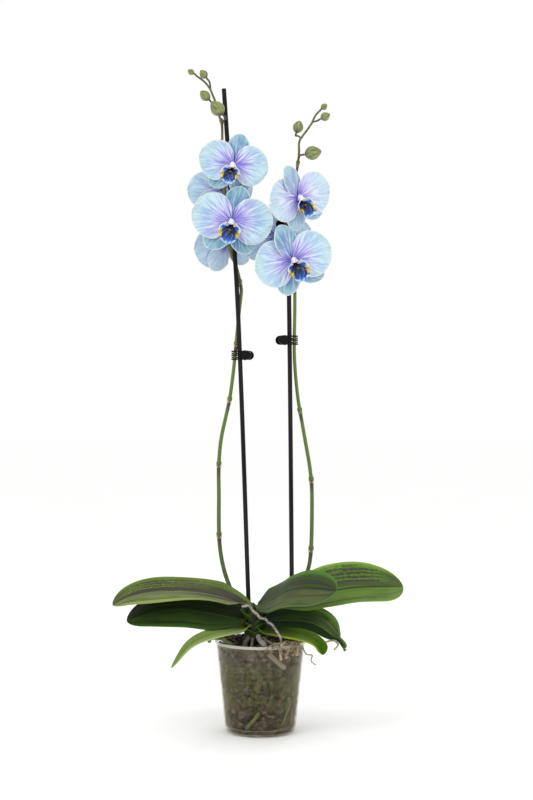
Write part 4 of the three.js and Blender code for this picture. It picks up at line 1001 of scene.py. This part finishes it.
def leaf_half_width(data, near, v):
    taper = data.get("taper", TIP_TAPER)
    begin = data.get("near_taper", taper) if near else taper
    broad = data.get("near_broad", data["broad"]) if near else data["broad"]
    full = data["half"] * (data.get("near_share", 1) if near else 1)
    beyond = unit((v / data.get("blade_end", 1) - begin) / (1 - begin))
    width = lerp(LEAF_BASE_HALF, full, smooth(v, 0, broad))
    blade = width * (1 - beyond ** data.get("blunt", TIP_BLUNTNESS)) ** 0.6
    beyond_nib = unit((v - NIB_ROUND_FROM) / (1 - NIB_ROUND_FROM))
    return max(blade, data.get("nib", 0) * sqrt(1 - beyond_nib ** 2), LEAF_TIP_HALF)


def leaf(name, data):
    rib = Route(data["rib"])
    towards = -1 if data["rib"][-1][0] > data["rib"][0][0] else 1
    phase = len(name) + data["half"]

    def denser(v):
        """Rows that crowd towards the tip."""
        return 1 - (1 - v) ** 1.5

    def at(u, v):
        v = denser(v)
        spread = smooth(v, 0.02, 0.03 + 0.55 * data["broad"])
        share = smooth(u * towards, -0.1, 0.1)
        width = lerp(leaf_half_width(data, True, v), leaf_half_width(data, False, v), share)
        lift = radians(lerp(LEAF_BASE_FOLD, data["fold"], spread))
        turn = radians(data["roll"] * spread) * towards
        ahead = rib.tangent(v)
        level = ahead.cross(UP).normalized()
        up = level.cross(ahead).normalized()
        across = level * cos(turn) + up * sin(turn)
        normal = up * cos(turn) - level * sin(turn)
        soft = sqrt(u * u + 0.004) - 0.06
        wave = 0.7 * sin(v * 9 + phase) * u * abs(u) * spread * smooth(v, 1, 0.8)
        return (rib.at(v) + across * u * width * cos(lift)
                + normal * (soft * width * sin(lift) + wave - 0.5 * hump(u, 0.05)))

    shell = Shell()
    shell.sheet(at, 36, 72, lambda u, v: lerp(2.0, 0.7, max(abs(u), denser(v) * 0.7)))
    slot = "young_leaf" if name.startswith("leaf_small") else "leaf"
    shell.piece(name + "_blade", slot, [leaf_look(name + "_skin", towards, LEAF_SKINS[name])], [name])


def spike(name, data):
    route = Route(data["route"])
    nodes = [route.share_at_height(h) for h in data["bracts"]]

    def radius(t):
        k = min(int(t * 4), 3)
        near = max(hump((t - n) * route.length, 3.5) for n in nodes)
        return lerp(STEM_RADII[k], STEM_RADII[k + 1], t * 4 - k) + 0.25 * near

    def tint(t):
        """The age along the stem, and how near the next joint above is."""
        return t, max((smooth((n - t) * route.length, 26, 0) if t <= n else 0) for n in nodes)

    stem = Shell()
    stem.tube(route, radius, 16, 260, edge=tint)
    stem.piece(name + "_stem", "stem", [stem_look()], [name])

    bracts = Shell()
    for n in nodes:
        near = Route([route.at(n - 4 / route.length), route.at(n), route.at(n + 4 / route.length)])
        middle, side, other = frames_along(near, 2)[1]
        ahead = route.tangent(n)
        base = radius(n)

        def at(u, v):
            return around(middle + ahead * (-2.4 + 9.5 * v), side, other, base + 0.25 + 0.9 * v * v,
                          u * lerp(3.0, 0.25, v ** 1.3))

        bracts.sheet(at, 20, 10, lambda u, v: 0.45)
    bract = plain_look(name + "_bract_skin", "#8f8163", "#c9bd9b", 300, 0.4, roughness=0.75)
    bracts.piece(name + "_bracts", "stem", [bract])

    stalks = Shell()
    for bloom_name, data in BLOOMS.items():
        if bloom_name.split("_")[-2] in name:
            place = bloom_matrix(data)
            facing = (place.to_3x3() @ UP).normalized()
            hub = place @ Vector((0, 0, HUB_BACK))
            stalk(stalks, route, data.joint, hub, facing, PEDICEL_RADIUS, data.via)
    for bud_name, data in BUDS.items():
        if bud_name.split("_")[-2] in name:
            aim = Vector(data.aim).normalized()
            stalk(stalks, route, data.joint, Vector(data.centre) - aim * data.length / 2, aim,
                  PEDICEL_RADIUS * 0.8)
    look = plain_look(name + "_stalk_skin", "#3a2a30", "#5c5038", 140, 0.3, roughness=0.5)
    stalks.piece(name + "_stalks", "stem", [look])


def stalk(shell, route, height, back, facing, radius, via=None):
    start = route.at(route.share_at_height(height))
    span = (start - back).length
    end = back - facing * 0.2
    bend = end - facing * span * 0.34
    rise = start.lerp(bend, 0.45) + Vector((0, 0, span * 0.12))
    path = Route([start, Vector(via) if via else rise, bend, end])
    shell.tube(path, lambda t: radius * lerp(0.85, 1.15, t), 12, 24)


def bloom_matrix(data):
    place = Matrix.Translation(data.centre)
    for angle, axis in ((data.yaw, "Z"), (90, "X"), (data.pitch, "X"), (data.roll, "Z")):
        place = place @ Matrix.Rotation(radians(angle), 4, axis)
    return place


def tepal(shell, outline, length, turn, depth, cup, wave, ripple, phase, paint, over=0):
    """One petal or sepal. over lifts its left half before its neighbour."""
    reaches, halves = zip(*outline)
    spin = Matrix.Rotation(radians(turn), 3, "Z")

    def place(u, v):
        half = along(halves, v) * (1 + 0.022 * sin(7 * v + phase + 2 * (u > 0)) * abs(u))
        reach = along(reaches, v) * (1 - 0.012 * smooth(v, 0.5, 1) * sin(4 * u + phase))
        return reach, max(half, 0.006)

    def at(u, v):
        y, half = place(u, v)
        x = u * half
        r = hypot(x, y)
        z = depth + cup * (x * x + y * y) + wave * u * y
        z += over * (1 - u) * smooth(v, 0.02, 0.3) * smooth(v, 1, 0.45)
        z += ripple * sin(11 * r + 6 * u + phase) * u * u * smooth(r, 0.15, 0.7)
        z += ripple * 0.7 * sin(9 * u + phase * 2) * smooth(r, 0.6, 1.0)
        z -= 0.5 * hump(u, 0.09) * smooth(v, 0.02, 0.2) * smooth(v, 1, 0.5)
        return spin @ Vector((x * length, y * length, z))

    def edge(u, v):
        reach, half = place(u, v)
        side = (1 - abs(u)) * half * length / 10
        return hypot(u * half, reach), min(side, (reaches[-1] - reach) * length / 10)

    def fan(u, v):
        y, half = place(u, v)
        return atan2(u * half, y) / pi + 0.5, v

    shell.sheet(at, 24, 34, lambda u, v: 0.75 - 0.3 * abs(u), edge, paint, fan)


def bloom(name, data):
    seed = 3.7 * (list(BLOOMS).index(name) + 1)
    place = bloom_matrix(data)
    rear = data.centre[1] > 0
    shell = Shell()
    for k, turn, depth, cup, over in ((0, data.lean, -1.2, 1.5, data.over), (1, data.hang[0], -1.2, 2.5, 0),
                                      (2, data.hang[1], -2.4, 2.5, 0)):
        tepal(shell, SEPAL_OUTLINE, data.petal * SEPAL_SHARE, turn, depth, cup, 0, 0.5, seed + k, 1, over)
    for k, turn, wave in ((3, data.wings[0], 1.5), (4, data.wings[1], -1.5)):
        tepal(shell, PETAL_OUTLINE, data.petal, turn, 1.5, 4, wave, 1.1, seed + k, 0)
    petals = petal_look("petal_" + name, REAR if rear else PETAL, seed, 42, data.tone)
    sepals = petal_look("sepal_" + name, REAR if rear else SEPAL, seed + 20, 44, data.tone)
    shell.piece("tepals_" + name, "petal", [petals, sepals], ["bloom_" + name], matrix=place)

    column = Shell()
    column.tube(Route(COLUMN_ROUTE), lambda t: along(COLUMN_RADII, t), 28, 22,
                bump=lambda turn, t: 1 + (0.14 * sin(3 * turn + 1) + 0.08 * sin(7 * turn)) * t)
    column.place(column.lathe(COLUMN_CAP, 20, (2.0, 0.9)), Matrix.Translation((0, -2.6, 8.9)))
    column.piece("column_" + name, "petal", [column_look(name)], matrix=place)


def lip(name, data):
    size = data.petal * LIP_SHARE
    spine = Route([(0, -LIP_FOOT / size, 0.11), (0, -0.37, 0.36), (0, -0.6, 0.5), (0, -0.86, 0.42)])
    shell = Shell()

    def middle(u, v):
        half = along(LIP_HALVES, v)
        keel = 0.03 * hump(u, 0.18) * smooth(v, 0.3, 0.5)
        hem = (0.05 + 0.04 * sin(9 * u + 14 * v)) * smooth(abs(u), 0.5, 1) * smooth(v, 0.45, 0.65)
        return (spine.at(v) + Vector((u * half, 0, 0.3 * half * abs(u) ** 1.4 + keel + hem))) * size

    shell.sheet(middle, 24, 40, lambda u, v: lerp(lerp(2.4, 0.9, smooth(v, 0, 0.5)), 0.5, abs(u)))
    for side in (1, -1):
        def lobe(u, v):
            rounding = cos(1.3 * u) ** 0.7
            x = side * (0.05 + 0.41 * v * rounding - 0.04 * v ** 4)
            y = -0.31 - 0.06 * v + u * lerp(0.14, 0.32, v) + 0.012 * sin(5 * u + 1) * v ** 3
            z = lerp(0.27 - 0.137 * u, 0.5, v ** 1.2) + 0.02 * sin(8 * u + 2) * v ** 3
            return Vector((x, y, z)) * size

        shell.sheet(lobe, 22, 18, lambda u, v: lerp(1.3, 0.5, max(v, abs(u))), paint=1)

    # The callus between the lobes, and the two tendrils of the tip
    callus = shell.lathe(CALLUS, 14, (1, 0.7), paint=2)
    shell.place(callus, Matrix.Translation(Vector((0, -0.36, 0.45)) * size))
    tip = spine.at(1) * size
    for side in (-1, 1):
        bends = [(1.6, -0.6, 0.8), (3.6, 0.4, 2.4), (3.4, 3.0, 3.4), (1.4, 4.2, 3.8)]
        route = Route([tip, *(tip + Vector((side * x, y, z)) for x, y, z in bends)])
        shell.tube(route, lambda t: lerp(0.5, 0.25, t), 8, 18, paint=3)
    seed = list(BLOOMS).index(name) * 5 + 1
    looks = [middle_lobe_look(seed), lobe_look(seed),
             plain_look("callus_" + name, "#2a0f16", "#9c6420", 1400, 0.3, roughness=0.4),
             plain_look("cirrus_" + name, "#7dbcea", "#b9dff3", 900, 0.1, roughness=0.4)]
    shell.piece("lip_" + name + "_lobes", "lip", looks, ["lip_" + name], matrix=bloom_matrix(data))


def bud(name, data):
    def ring_at(turn, share):
        share = lerp(0.004, 0.999, share)
        bulge = sin(pi * share ** 0.85) ** 0.72
        seam = 1 - 0.05 * hump(turn * 3 / (2 * pi) % 1 - 0.5, 0.05) * sin(pi * share)
        rib = 1 + 0.008 * sin(turn * 18)
        return polar(data.width / 2 * bulge * seam * rib, turn, data.length * share)

    shell = Shell()
    shell.rings(ring_at, 54, 30)
    aim = Vector(data.aim).normalized()
    base = Vector(data.centre) - aim * data.length / 2
    place = Matrix.Translation(base) @ UP.rotation_difference(aim).to_matrix().to_4x4()
    shell.piece(name + "_calyx", "bud", [bud_look(name, data.width)], [name], matrix=place)


def knotted(points, random_, step, offset):
    """The points with kinks put in between."""
    told = [Vector(points[0])]
    for a, b in zip(points, points[1:]):
        a, b = Vector(a), Vector(b)
        parts = max(round((b - a).length / step), 1)
        for k in range(1, parts):
            kink = Vector([random_.uniform(-offset, offset) for axis in range(3)])
            told.append(a.lerp(b, k / parts) + kink)
        told.append(b)
    return told


def root_tube(shell, first, last, points, random_, kink=0.5, rough=1):
    route = Route(knotted(points, random_, 7, kink), 6)
    shift = random_.uniform(0, 50)

    def bumpy(turn, t):
        place = polar(1, turn, t * route.length * 0.2 + shift)
        return 1 + rough * (0.25 * noise.noise(place * 0.9) + 0.12 * noise.noise(place * 3))

    def radius(t):
        beyond = max(t - 1 + last / route.length, 0) * route.length / last
        return lerp(first, last, t) * sqrt(max(1 - beyond ** 2, 0.03))

    shell.tube(route, radius, 14, max(int(route.length / 1.2), 16), bump=bumpy)


def root(name, branches):
    random_ = random.Random(len(name))
    share = FINE_SHARE if name == FINE_ROOTS else 1
    shell = Shell()
    for first, last, points in branches:
        root_tube(shell, first * share, last * share, points, random_)
    look = root_look(name + "_skin", *ROOT_COLOURS.get(name, PLAIN_ROOT))
    shell.piece(name + "_velamen", "root", [look], [name])


def loose_roots():
    random_ = random.Random(5)
    strands = Shell()
    for first, last, points in STRANDS:
        root_tube(strands, first, last, points, random_, 0.8)
    strands.piece("root_strands", "root", [root_look("strand_skin", *STRAND_COLOURS)])
    for name, data in WALL_ROOTS.items():
        shell = Shell()
        root_tube(shell, data.first, data.last, wall_points(data), random_, 0.1, 0.2)
        shell.piece(name, "root", [root_look(name + "_skin", *data.colours)])


def stake(name, route, look):
    shell = Shell()
    shell.tube(Route(route), lambda t: STAKE_RADIUS, 20, 60)
    shell.piece(name + "_rod", "stake", [look], [name])


stage()
pot()
bark()
crown()
for leaf_name, leaf_data in LEAVES.items():
    leaf(leaf_name, leaf_data)
black = stake_look()
for stake_name, stake_route in STAKES.items():
    stake(stake_name, stake_route, black)
for root_name, root_branches in ROOTS.items():
    root(root_name, root_branches)
loose_roots()
for spike_name, spike_data in SPIKES.items():
    spike(spike_name, spike_data)
for bloom_name, bloom_data in BLOOMS.items():
    bloom(bloom_name, bloom_data)
    lip(bloom_name, bloom_data)
for bud_name, bud_data in BUDS.items():
    bud(bud_name, bud_data)

gloss = plain_look("clip_gloss", "#050506", "#0d0d0f", 300, 0.1, roughness=0.25, specular_ior_level=0.12)
steel = plain_look("spring_steel", "#77787b", "#9a9b9e", 500, 0.1, roughness=0.35, metallic=0.9)
for node_name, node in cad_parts.items():
    if node_name.startswith("clip_"):
        node.data.materials.clear()
        node.data.materials.append(steel if node_name.endswith("spring") else gloss)
        worn = node.modifiers.new("worn", "BEVEL")
        worn.width = CLIP_WEAR
        worn.limit_method = "ANGLE"
